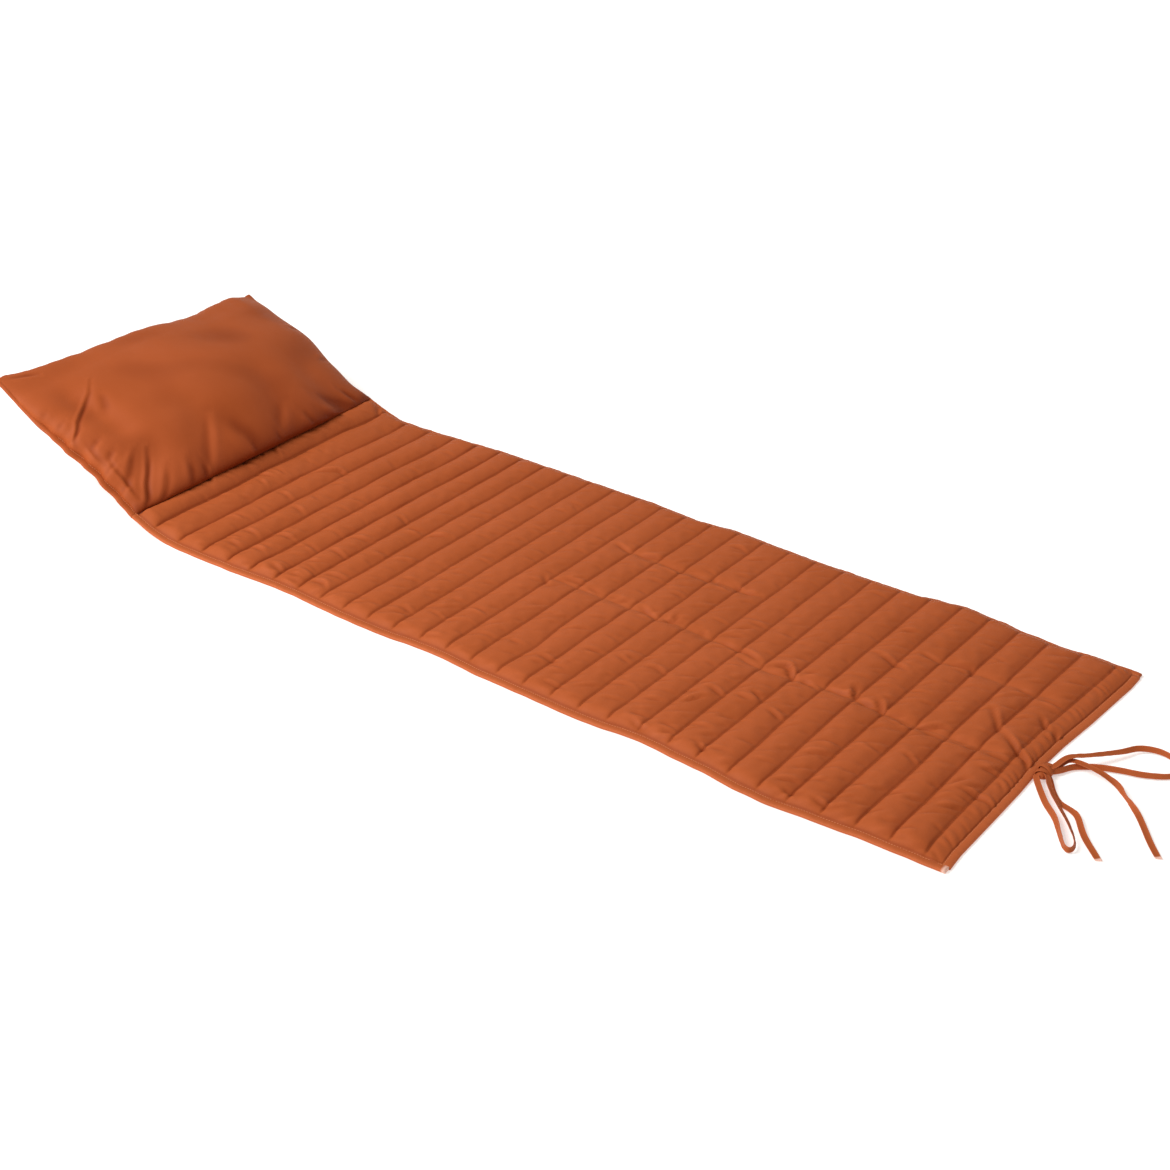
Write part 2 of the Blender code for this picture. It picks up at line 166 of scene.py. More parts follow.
def gridFaces(rows, columns, start=0, flip=False):
    index = np.arange(rows * columns).reshape(rows, columns) + start
    corners = [index[:-1, :-1], index[1:, :-1], index[1:, 1:], index[:-1, 1:]]
    quads = np.stack(corners, axis=-1).reshape(-1, 4)
    return (quads[:, ::-1] if flip else quads).tolist()


def closedForm(top, under):
    # A top grid and an under grid joined along their four sides; the under grid may be coarser across
    rows, columns = top.shape[:2]
    underColumns = under.shape[1]
    step = (columns - 1) // (underColumns - 1)
    first = rows * columns
    faces = gridFaces(rows, columns)
    faces += gridFaces(rows, underColumns, first, flip=True)
    for i in range(rows - 1):
        a, b = i * columns, (i + 1) * columns
        c, d = first + i * underColumns, first + (i + 1) * underColumns
        faces.append([a, c, d, b])
        faces.append([a + columns - 1, b + columns - 1, d + underColumns - 1, c + underColumns - 1])
    for j in range(underColumns - 1):
        above = list(range(j * step, (j + 1) * step + 1))
        faces.append(above + [first + j + 1, first + j])
        last = (rows - 1) * columns
        lastUnder = first + (rows - 1) * underColumns
        faces.append([last + k for k in reversed(above)] + [lastUnder + j, lastUnder + j + 1])
    points = np.concatenate([top.reshape(-1, 3), under.reshape(-1, 3)])
    return points, faces


def sweep(rings):
    # A closed skin over rings of points, with a flat end at each side
    rings = np.asarray(rings)
    count, around = rings.shape[:2]
    faces = []
    for i in range(count - 1):
        for k in range(around):
            after = (k + 1) % around
            faces.append([i * around + k, i * around + after, (i + 1) * around + after, (i + 1) * around + k])
    faces.append(list(range(around))[::-1])
    faces.append([(count - 1) * around + k for k in range(around)])
    return rings.reshape(-1, 3), faces


def joinParts(parts):
    points = []
    faces = []
    count = 0
    for partPoints, partFaces in parts:
        points.append(np.asarray(partPoints))
        faces += [[k + count for k in face] for face in partFaces]
        count += len(partPoints)
    return np.concatenate(points), faces


swelling = {
    "quality": 5,
    "mass": 0.3,
    "stiffness": 15.0,
    "shear": 6.0,
    "bending": 0.5,
    "moments": 20,
    "levels": 10,                # steps of looseness
}


def swell(points, faces, held, pressure, growth, cap, looseness=None):
    # Blender's cloth blows the form up from inside; no point moves further than the cap
    mesh = bpy.data.meshes.new("swelling")
    mesh.from_pydata(points.tolist(), [], faces)
    form = bpy.data.objects.new("swelling", mesh)
    scene.collection.objects.link(form)
    form.vertex_groups.new(name="held").add([int(i) for i in held], 1.0, "REPLACE")
    cloth = form.modifiers.new("cloth", "CLOTH")
    settings = cloth.settings
    settings.quality = swelling["quality"]
    settings.mass = swelling["mass"]
    settings.tension_stiffness = swelling["stiffness"]
    settings.compression_stiffness = swelling["stiffness"]
    settings.shear_stiffness = swelling["shear"]
    settings.bending_stiffness = swelling["bending"]
    settings.use_pressure = True
    settings.uniform_pressure_force = pressure
    settings.shrink_min = -growth
    if looseness is not None:
        loose = form.vertex_groups.new(name="loose")
        for level in range(1, swelling["levels"] + 1):
            chosen = np.nonzero(np.round(swelling["levels"] * looseness) == level)[0]
            if len(chosen):
                loose.add([int(i) for i in chosen], level / swelling["levels"], "REPLACE")
        settings.vertex_group_shrink = "loose"
        settings.shrink_min = 0.0
        settings.shrink_max = -growth
    settings.vertex_group_mass = "held"
    settings.effector_weights.gravity = 0.0
    cloth.collision_settings.use_collision = False
    cloth.point_cache.frame_start = 1
    cloth.point_cache.frame_end = swelling["moments"]
    for moment in range(1, swelling["moments"] + 1):
        scene.frame_set(moment)
    shaped = form.evaluated_get(bpy.context.evaluated_depsgraph_get()).data
    moved = np.empty(3 * len(shaped.vertices))
    shaped.vertices.foreach_get("co", moved)
    moved = moved.reshape(-1, 3) - points
    bpy.data.objects.remove(form)
    bpy.data.meshes.remove(mesh)
    scene.frame_set(1)
    moved[~np.isfinite(moved)] = 0.0
    size = np.linalg.norm(moved, axis=1, keepdims=True)
    print("swell: mean move %.1f mm, largest %.1f mm" % (1000 * size.mean(), 1000 * size.max()))
    return points + moved * np.minimum(1.0, cap / np.maximum(size, 1e-9))


def setInputs(node, values):
    for name, value in values.items():
        node.inputs[name].default_value = value


# Camera and light

camera = {
    "place": (1.797486, -2.212502, 1.611273),
    "tilt": 60.043,              # degrees from straight down
    "turn": 37.307,
    "lens": 61.9165,             # on a 36 mm wide picture
}
light = {
    "sky": 0.47,
    "skyColour": (1.0, 0.94, 0.87),
    "sun": 1.50,
    "sunFrom": (-0.74, -0.70, 1.15),
    "sunSoftness": 26,           # degrees
    "box": 18,                   # a soft box beside the near long side, in watts
    "boxPlace": (-0.70, -1.50, 1.50),
    "boxAim": (-0.05, -0.10, 0.0),
    "boxSize": 0.9,
}


def placeCamera():
    data = bpy.data.cameras.new("viewCamera")
    data.lens = camera["lens"]
    data.sensor_width = 36
    data.clip_end = 50
    eye = bpy.data.objects.new("viewCamera", data)
    eye.location = camera["place"]
    eye.rotation_euler = (math.radians(camera["tilt"]), 0, math.radians(camera["turn"]))
    scene.collection.objects.link(eye)
    scene.camera = eye


def placeLamp(name, kind, power, away):
    # It shines from where away points
    data = bpy.data.lights.new(name, kind)
    data.energy = power
    lamp = bpy.data.objects.new(name, data)
    away = np.array(away) / np.linalg.norm(away)
    lamp.rotation_euler = (math.acos(away[2]), 0, math.atan2(away[1], away[0]) + math.pi / 2)
    scene.collection.objects.link(lamp)
    return lamp


def placeLight():
    world = bpy.data.worlds.new("studioWhite")
    world.use_nodes = True
    setInputs(world.node_tree.nodes["Background"],
              {"Color": (*light["skyColour"], 1), "Strength": light["sky"]})
    scene.world = world
    sun = placeLamp("softSun", "SUN", light["sun"], light["sunFrom"])
    sun.data.angle = math.radians(light["sunSoftness"])
    box = placeLamp("softBox", "AREA", light["box"], np.array(light["boxPlace"]) - light["boxAim"])
    box.data.size = light["boxSize"]
    box.location = light["boxPlace"]
    scene.view_settings.view_transform = "Standard"


placeCamera()
placeLight()
print("stage: camera and light")


# Cloth finishes

dyeAndPaintedShade = {
    "paleRise": 0.006,
    "slub": (0.72, 0.10),        # thick places in the thread: factor of the colour, how much of it shows
    "gap": (0.62, 0.10),         # between the threads
    # Painted shade: factors that darken and deepen the colour where shade falls
    "hollow": (0.50, 0.36, 0.24),            # factors for red, green and blue
    "rubbed": (1.25, 0.02),      # factor, rise
    "cutEnd": (0.86, 0.52, 0.42),
    "sheenColour": (1.0, 0.50, 0.30, 1),
    "sheenRough": 0.42,
    "shine": 0.12,
}
surface = {
    "bandsPerThread": 0.314,
    "slubScale": 900.0,
    "weaveRelief": (0.28, 0.00012),          # strength, height
    "slubRelief": 0.5,
    "crumpleHeight": 0.0016,
}


def tinted(colour, factors, rise=0.0):
    # One factor, or one for each channel
    return tuple(min(1.0, float(c * k + rise)) for c, k in zip(colour, np.broadcast_to(factors, 3)))


def clothFinish(name, plan):
    material = bpy.data.materials.new(name)
    material.use_nodes = True
    nodes = material.node_tree.nodes
    links = material.node_tree.links
    shader = nodes["Principled BSDF"]

    def feed(socket, value):
        if isinstance(value, float):
            socket.default_value = value
        elif isinstance(value, tuple):
            socket.default_value = (*value, 1)
        else:
            links.new(value, socket)

    def add(kind, values, vector=None):
        made = nodes.new("ShaderNode" + kind)
        setInputs(made, values)
        if vector:
            links.new(vector, made.inputs["Vector"])
        return made

    def noise(scale, detail, rough=0.5):
        return add("TexNoise", {"Scale": scale, "Detail": detail, "Roughness": rough}, place).outputs["Fac"]

    def maths(kind, first, second):
        made = add("Math", {})
        made.operation = kind
        feed(made.inputs[0], first)
        feed(made.inputs[1], second)
        return made.outputs[0]

    def stretch(value, low, high):
        made = add("MapRange", {"From Min": 0.25, "From Max": 0.75, "To Min": low, "To Max": high})
        links.new(value, made.inputs["Value"])
        return made.outputs[0]

    def mix(share, first, second):
        made = add("Mix", {})
        made.data_type = "RGBA"
        links.new(share, made.inputs[0])
        feed(made.inputs[6], first)
        feed(made.inputs[7], second)
        return made.outputs[2]

    # Threads both ways, thicker and thinner along their length
    place = add("TexCoord", {}).outputs["Object"]
    turned = add("Mapping", {"Rotation": (0, 0, math.radians(plan["turn"]))}, place).outputs["Vector"]
    threads = []
    for direction in ("X", "Y"):
        band = add("TexWave", {"Scale": surface["bandsPerThread"] / plan["thread"], "Distortion": 0.6,
                               "Detail": 1.0, "Detail Scale": 0.4}, turned)
        band.bands_direction = direction
        threads.append(band.outputs["Fac"])
    weave = maths("MULTIPLY", *threads)
    crumple = noise(plan["crumple"], 3.0, 0.55)
    slub = noise(surface["slubScale"], 2.0)

    # Colour: slow tone changes, fine mottling, darker between the threads, painted shade where shade falls in
    # creases, rows and seams, paler where it rubs
    base = plan["colour"]
    darker = tinted(base, plan["darker"])
    paler = tinted(base, plan["paler"], dyeAndPaintedShade["paleRise"])
    tone = mix(stretch(noise(7.0, 3.0), 0.0, 1.0), darker, paler)
    for spots, (factor, shows) in ((stretch(slub, 0.0, 1.0), dyeAndPaintedShade["slub"]),
                                   (maths("SUBTRACT", 1.0, weave), dyeAndPaintedShade["gap"])):
        tone = mix(maths("MULTIPLY", spots, shows), tone, tinted(base, factor))
    # Painted shade: the first attribute darkens the colour where shade falls in creases, along rows and seams
    # and on shaded slopes
    for label, shows, colour in (("hollow", plan["paintedShadeAmount"], tinted(base, dyeAndPaintedShade["hollow"])),
                                 ("rubbed", plan["rubbed"], tinted(base, *dyeAndPaintedShade["rubbed"])),
                                 ("cutEnd", plan["cutEnds"], dyeAndPaintedShade["cutEnd"])):
        if shows:
            layer = add("Attribute", {})
            layer.attribute_name = label
            tone = mix(maths("MULTIPLY", layer.outputs["Fac"], shows), tone, colour)
    links.new(tone, shader.inputs["Base Color"])

    rough = stretch(noise(40.0, 2.0), plan["rough"] - 0.05, plan["rough"] + 0.06)
    links.new(rough, shader.inputs["Roughness"])
    setInputs(shader, {"Specular IOR Level": dyeAndPaintedShade["shine"], "Sheen Weight": plan["sheen"],
                       "Sheen Roughness": dyeAndPaintedShade["sheenRough"], "Sheen Tint": dyeAndPaintedShade["sheenColour"]})

    # Relief: the weave, and the faint crumple between the folds that are modelled
    strength, distance = surface["weaveRelief"]
    fine = add("Bump", {"Strength": strength, "Distance": distance})
    links.new(maths("ADD", weave, maths("MULTIPLY", slub, surface["slubRelief"])), fine.inputs["Height"])
    soft = add("Bump", {"Strength": plan["crumpling"], "Distance": surface["crumpleHeight"]})
    links.new(crumple, soft.inputs["Height"])
    links.new(fine.outputs["Normal"], soft.inputs["Normal"])
    links.new(soft.outputs["Normal"], shader.inputs["Normal"])
    return material


# What a finish doesn't name it takes from here; thread is the distance between threads, and one entry sets
# how strongly the painted shade in creases and seams shows
plainFinish = {"darker": 0.94, "paler": 1.06, "thread": 0.00055, "rough": 0.55, "sheen": 0.06,
               "crumple": 120.0, "crumpling": 0.25, "paintedShadeAmount": 0.0, "rubbed": 0.0, "cutEnds": 0.0, "turn": 0}
finishes = {
    "quilted cloth": {"colour": (0.450, 0.096, 0.022), "darker": 0.95, "thread": 0.00062, "rough": 0.58,
                      "crumple": 55.0, "crumpling": 0.32, "paintedShadeAmount": 0.45, "rubbed": 0.30},
    "pillow cloth": {"colour": (0.430, 0.088, 0.019), "darker": 0.95, "paler": 1.05, "thread": 0.00062,
                     "rough": 0.54, "crumple": 26.0, "crumpling": 0.15, "paintedShadeAmount": 0.95, "rubbed": 0.25,
                     "turn": 6},
    "binding cloth": {"colour": (0.480, 0.108, 0.028), "darker": 0.93, "paler": 1.08, "rough": 0.60,
                      "crumple": 160.0, "rubbed": 0.45, "cutEnds": 1.0},
    "pillow edge": {"colour": (0.430, 0.088, 0.019), "rough": 0.58, "rubbed": 0.20},
    "ribbon cloth": {"colour": (0.430, 0.094, 0.023), "darker": 0.92, "paler": 1.08, "thread": 0.00045,
                     "crumpling": 0.18, "rubbed": 0.5, "cutEnds": 1.0},
    "row thread": {"colour": (0.235, 0.042, 0.010), "thread": 0.00020, "sheen": 0.04, "crumple": 300.0,
                   "crumpling": 0.10},
    "edge thread": {"colour": (0.720, 0.280, 0.130), "thread": 0.00020, "sheen": 0.04, "crumple": 300.0,
                    "crumpling": 0.10},
}
cloths = {name: clothFinish(name, {**plainFinish, **plan}) for name, plan in finishes.items()}
print("stage: cloth finishes")


# Measures that the mat, its bindings and the pillow share

cushion = {
    "width": 0.600,
    "seamX": -0.6146,            # the seam between the pillow and the mat
    "channels": 29,
    "rowPlaces": (0, 1, 4, 29),                           # row of stitches, counted from the seam
    "rowDistances": (0.0, 0.0410, 0.2114, 1.4989),
    "length": 1.5388,
    "binding": 0.0130,
    "lift": 0.0200,              # the pillow lifts the mat's head end
    "liftLength": 0.0850,
    "liftPower": 1.6,
    "footBend": 0.1545,          # the foot edge bends from this far before the end
    "footBendRun": 0.1285,
    "ripple": 0.0007,            # small waves where the stitching gathers the side
    "rippleSize": 0.045,
    # Distance from the seam, how far the side stands out
    "nearEdge": (
        (0.000, 0.001), (0.050, 0.003), (0.105, 0.006), (0.150, 0.006), (0.220, 0.005), (0.340, -0.002),
        (0.470, 0.003), (0.540, 0.004), (0.660, -0.003), (0.770, 0.003), (0.950, 0.005), (1.050, -0.003),
        (1.150, 0.004), (1.220, 0.012), (1.270, 0.014), (1.350, 0.008), (1.420, 0.003), (1.539, 0.001),
    ),
    "farEdge": (
        (0.000, -0.007), (0.050, -0.010), (0.105, -0.012), (0.150, -0.012), (0.220, -0.006), (0.320, 0.001),
        (0.470, 0.002), (0.640, 0.003), (0.746, -0.003), (0.820, 0.005), (0.920, 0.000), (0.980, -0.002),
        (1.150, -0.001), (1.200, 0.008), (1.247, 0.014), (1.300, 0.008), (1.360, 0.000), (1.410, -0.004),
        (1.470, 0.001), (1.539, -0.002),
    ),
    # Share of the width, how far the foot stands out
    "footEdge": (
        (0.000, -0.001), (0.060, -0.004), (0.250, -0.005), (0.360, -0.006), (0.475, -0.009), (0.600, -0.007),
        (0.735, -0.001), (0.945, 0.005), (1.000, 0.004),
    ),
}
footX = cushion["seamX"] + cushion["length"]


def headLift(distance):
    return cushion["lift"] * np.maximum(0.0, 1 - distance / cushion["liftLength"]) ** cushion["liftPower"]


def sideRipple(distance, seed):
    return cushion["ripple"] * lineNoise(distance, cushion["rippleSize"], seed, 8)


def nearLine(distance):
    return -cushion["width"] / 2 - readTable(cushion["nearEdge"], distance) - sideRipple(distance, 5)


def farLine(distance):
    return cushion["width"] / 2 + readTable(cushion["farEdge"], distance) + sideRipple(distance, 6)


def footShift(distance, across):
    start = cushion["length"] - cushion["footBend"]
    fade = ease((distance - start) / cushion["footBendRun"])
    return fade * np.interp(across, *zip(*cushion["footEdge"]))


def busier(y, distance, least, near, foot):
    # Grows towards the near side and the foot
    return least + near * (cushion["width"] / 2 - y) / cushion["width"] + foot * distance / 1.5


# Ribbon tie: x past the foot line, y, height, lean of the ribbon's width from flat in degrees

ribbons = {
    "width": 0.0088,
    "thickness": 0.0010,
    "curl": 0.0007,              # how far the edges turn up
    "step": 0.0025,
    # Place across and thickness, both as shares: the woven edges are thicker
    "profile": ((-1.0, 0.55), (-0.86, 1.0), (-0.6, 0.72), (-0.2, 0.72), (0.2, 0.72), (0.6, 0.72), (0.86, 1.0),
                (1.0, 0.55)),
    "ripple": 0.00022,
    "least": 0.0003,             # above the floor
    "loopLong": (
        (.0030, -.0205, .0112, 2), (.0094, -.0112, .0136, 2), (.0176, .0128, .0180, 4),
        (.0389, .0372, .0165, 6), (.0652, .0788, .0100, 22), (.0806, .1060, .0074, 50),
        (.1026, .1170, .0068, 72), (.1246, .1150, .0066, 82), (.1426, .1020, .0066, 90),
        (.1496, .0840, .0066, 96), (.1396, .0670, .0066, 102), (.1116, .0510, .0066, 108),
        (.0826, .0420, .0066, 112), (.0546, .0310, .0062, 118), (.0286, .0125, .0062, 120),
        (.0161, -.0110, .0076, 110), (.0070, -.0210, .0072, 100),
    ),
    "tailLong": (
        (.0030, -.0185, .0080, 4), (.0103, -.0062, .0088, 4), (.0176, .0110, .0122, 8),
        (.0326, .0150, .0140, 10), (.0596, .0125, .0135, 12), (.0786, .0110, .0095, 16),
        (.0956, .0060, .0066, 45), (.1156, -.0120, .0064, 86), (.1296, -.0240, .0060, 60),
        (.1476, -.0410, .0036, 18), (.1806, -.0820, .0026, 10), (.2026, -.1060, .0018, 6),
    ),
    "loopShort": (
        (.0000, -.0370, .0090, 18), (-.0011, -.0470, .0092, 22), (.0316, -.0880, .0080, 30),
        (.0596, -.1140, .0068, 50), (.0836, -.1470, .0066, 70), (.0956, -.1620, .0066, 80),
        (.1041, -.1655, .0066, 84), (.1066, -.1560, .0066, 78), (.0996, -.1400, .0066, 60),
        (.0756, -.1100, .0066, 40), (.0476, -.0830, .0088, 30), (.0256, -.0600, .0118, 25),
        (.0134, -.0416, .0125, 22), (.0060, -.0330, .0110, 20),
    ),
    "tailShort": (
        (.0045, -.0265, .0046, 8), (.0131, -.0335, .0034, 8), (.0296, -.0560, .0022, 8),
        (.0466, -.0720, .0022, 8), (.0666, -.0790, .0026, 14), (.0816, -.0900, .0038, 30),
        (.1066, -.1230, .0034, 20), (.1426, -.1570, .0018, 6),
    ),
}


def smoothRoute(table, step):
    rows = [np.array((row[0] + footX, *row[1:])) for row in table]
    rows = [2 * rows[0] - rows[1], *rows, 2 * rows[-1] - rows[-2]]
    fine = []
    for a, b, c, d in zip(rows, rows[1:], rows[2:], rows[3:]):
        for i in range(12):
            t = i / 12
            fine.append(0.5 * (2 * b + (c - a) * t + (2 * a - 5 * b + 4 * c - d) * t ** 2
                               + (3 * b - a - 3 * c + d) * t ** 3))
    fine.append(rows[-2])
    fine = np.array(fine)
    run = np.concatenate([[0.0], np.cumsum(np.linalg.norm(np.diff(fine[:, :3], axis=0), axis=1))])
    count = max(2, round(run[-1] / step))
    marks = np.linspace(0.0, run[-1], count + 1)
    return np.stack([np.interp(marks, run, fine[:, k]) for k in range(4)], axis=1)


def ribbonFrames(points):
    ahead = np.gradient(points[:, :3], axis=0)
    ahead /= np.linalg.norm(ahead, axis=1, keepdims=True)
    flat = np.cross((0.0, 0.0, 1.0), ahead)
    flat /= np.linalg.norm(flat, axis=1, keepdims=True)
    up = np.cross(ahead, flat)
    lean = np.radians(points[:, 3:4])
    wide = np.cos(lean) * flat + np.sin(lean) * up
    thick = np.cos(lean) * up - np.sin(lean) * flat
    return wide, thick


def ribbonRings(points, seed, curl):
    # A flat ribbon with a slight, uneven curl
    wide, thick = ribbonFrames(points)
    half = 0.5 * ribbons["thickness"]
    profile = [(a, half * b) for a, b in ribbons["profile"]]
    profile += [(a, -half * b) for a, b in reversed(ribbons["profile"])]
    run = np.arange(len(points)) * ribbons["step"]
    bend = curl * (1 + 0.6 * lineNoise(run, 0.05, seed, 6))
    ripple = ribbons["ripple"] * lineNoise(run, 0.011, seed + 1, 6)
    rings = []
    for i, point in enumerate(points[:, :3]):
        rings.append([point + 0.5 * ribbons["width"] * a * wide[i]
                      + (b + bend[i] * (a ** 2 - 0.33) + ripple[i] * a) * thick[i] for a, b in profile])
    return np.array(rings)


def makeRibbon(name, table, node, farEnd, seed, curl):
    points = smoothRoute(table, ribbons["step"])
    rings = ribbonRings(points, seed, curl)
    around = rings.shape[1]
    cut = np.zeros((len(rings), around))
    if farEnd == "bare":
        # The cut end is a little slanted and frayed wider
        cut[-2:] = 1.0
        wide, _ = ribbonFrames(points)
        way = points[-1, :3] - points[-2, :3]
        for back, push in ((1, 0.0016), (2, 0.0006)):
            across = (rings[-back] - points[-back, :3]) @ wide[-back] / (0.5 * ribbons["width"])
            rings[-back] += push * across[:, None] * way / np.linalg.norm(way)
    rings[:, :, 2] = np.maximum(rings[:, :, 2], ribbons["least"])
    worn = np.zeros(around)
    worn[[0, 1, 6, 7, 8, 9, 14, 15]] = 1.0
    piece = makePiece(name, *sweep(rings), "ribbon cloth", "ribbon_cloth", node,
                      [("rubbed", np.tile(worn, len(rings))), ("cutEnd", cut.ravel())])
    path = [tuple(float(v) for v in point[:3]) for point in smoothRoute(table, 0.0100)]


makeRibbon("ribbonLoopLong", ribbons["loopLong"], "tie_loop_long", "object", 21, 0.5 * ribbons["curl"])
makeRibbon("ribbonLoopShort", ribbons["loopShort"], "tie_loop_short", "object", 23, 0.5 * ribbons["curl"])
makeRibbon("ribbonTailLong", ribbons["tailLong"], "tie_tail_long", "bare", 25, ribbons["curl"])
makeRibbon("ribbonTailShort", ribbons["tailShort"], "tie_tail_short", "bare", 27, ribbons["curl"])
print("stage: ribbons")


# Knot: bands of the ribbon wound round the gathered loops

knot = {
    "middle": (0.0012, -0.0245, 0.0078),     # x past the foot line
    "halfSize": (0.0100, 0.0185, 0.0070),
    "core": 0.86,                # of the half size
    "roundness": 0.7,
    "pleat": 0.05,
    # Wraps: place along the knot, lean, how far it stands out, width
    "wraps": ((-0.42, 14, 1.00, 0.0078), (0.10, -20, 1.10, 0.0084), (0.55, 10, 0.98, 0.0072)),
    "wrapThickness": 0.0010,
    # Share of the wrap's half width, share of its thickness
    "wrapProfile": ((-1, -.5), (-.9, .35), (-.5, .75), (0, .85), (.5, .75), (.9, .35), (1, -.5), (0, -.9)),
}


def makeKnot():
    middle = np.array(knot["middle"]) + (footX, 0, 0)
    half = np.array(knot["halfSize"])
    turn = np.linspace(0, 2 * math.pi, 20, endpoint=False)
    rings = []
    for slide in np.linspace(-0.96, 0.96, 17):
        size = math.sqrt(1 - slide * slide) ** knot["roundness"] * knot["core"]
        pleat = 1 + knot["pleat"] * np.cos(5 * turn + 3 * slide)
        rings.append(np.stack([middle[0] + half[0] * size * np.cos(turn) * pleat,
                               np.full(20, middle[1] + half[1] * slide),
                               np.maximum(0.0, middle[2] + half[2] * size * np.sin(turn) * pleat)], axis=1))
    parts = [sweep(rings)]
    for place, lean, out, width in knot["wraps"]:
        size = math.sqrt(1 - place * place) ** knot["roundness"] * out
        rings = []
        for turn in np.linspace(0, 2 * math.pi, 41)[:-1]:
            slant = math.tan(math.radians(lean)) * half[0] * math.cos(turn)
            centre = middle + (half[0] * size * math.cos(turn), half[1] * place + slant,
                               half[2] * size * math.sin(turn))
            outward = np.array((math.cos(turn), 0, math.sin(turn)))
            ring = [centre + (0, 0.5 * width * a, 0) + outward * knot["wrapThickness"] * b
                    for a, b in knot["wrapProfile"]]
            rings.append(np.maximum(ring, (-1e9, -1e9, 0.0)))
        rings.append(rings[0])
        # The last ring is the first one again, so the wrap closes and needs no flat ends
        skin, faces = sweep(rings)
        last = len(skin) - len(rings[0])
        faces = [[k - last if k >= last else k for k in face] for face in faces[:-2]]
        parts.append((skin[:last], faces))
    skin, faces = joinParts(parts)
    makePiece("ribbonKnot", skin, faces, "ribbon cloth", "ribbon_cloth", "tie_knot",
              [("rubbed", np.zeros(len(skin)))])


makeKnot()
print("stage: knot")


# Quilted mat

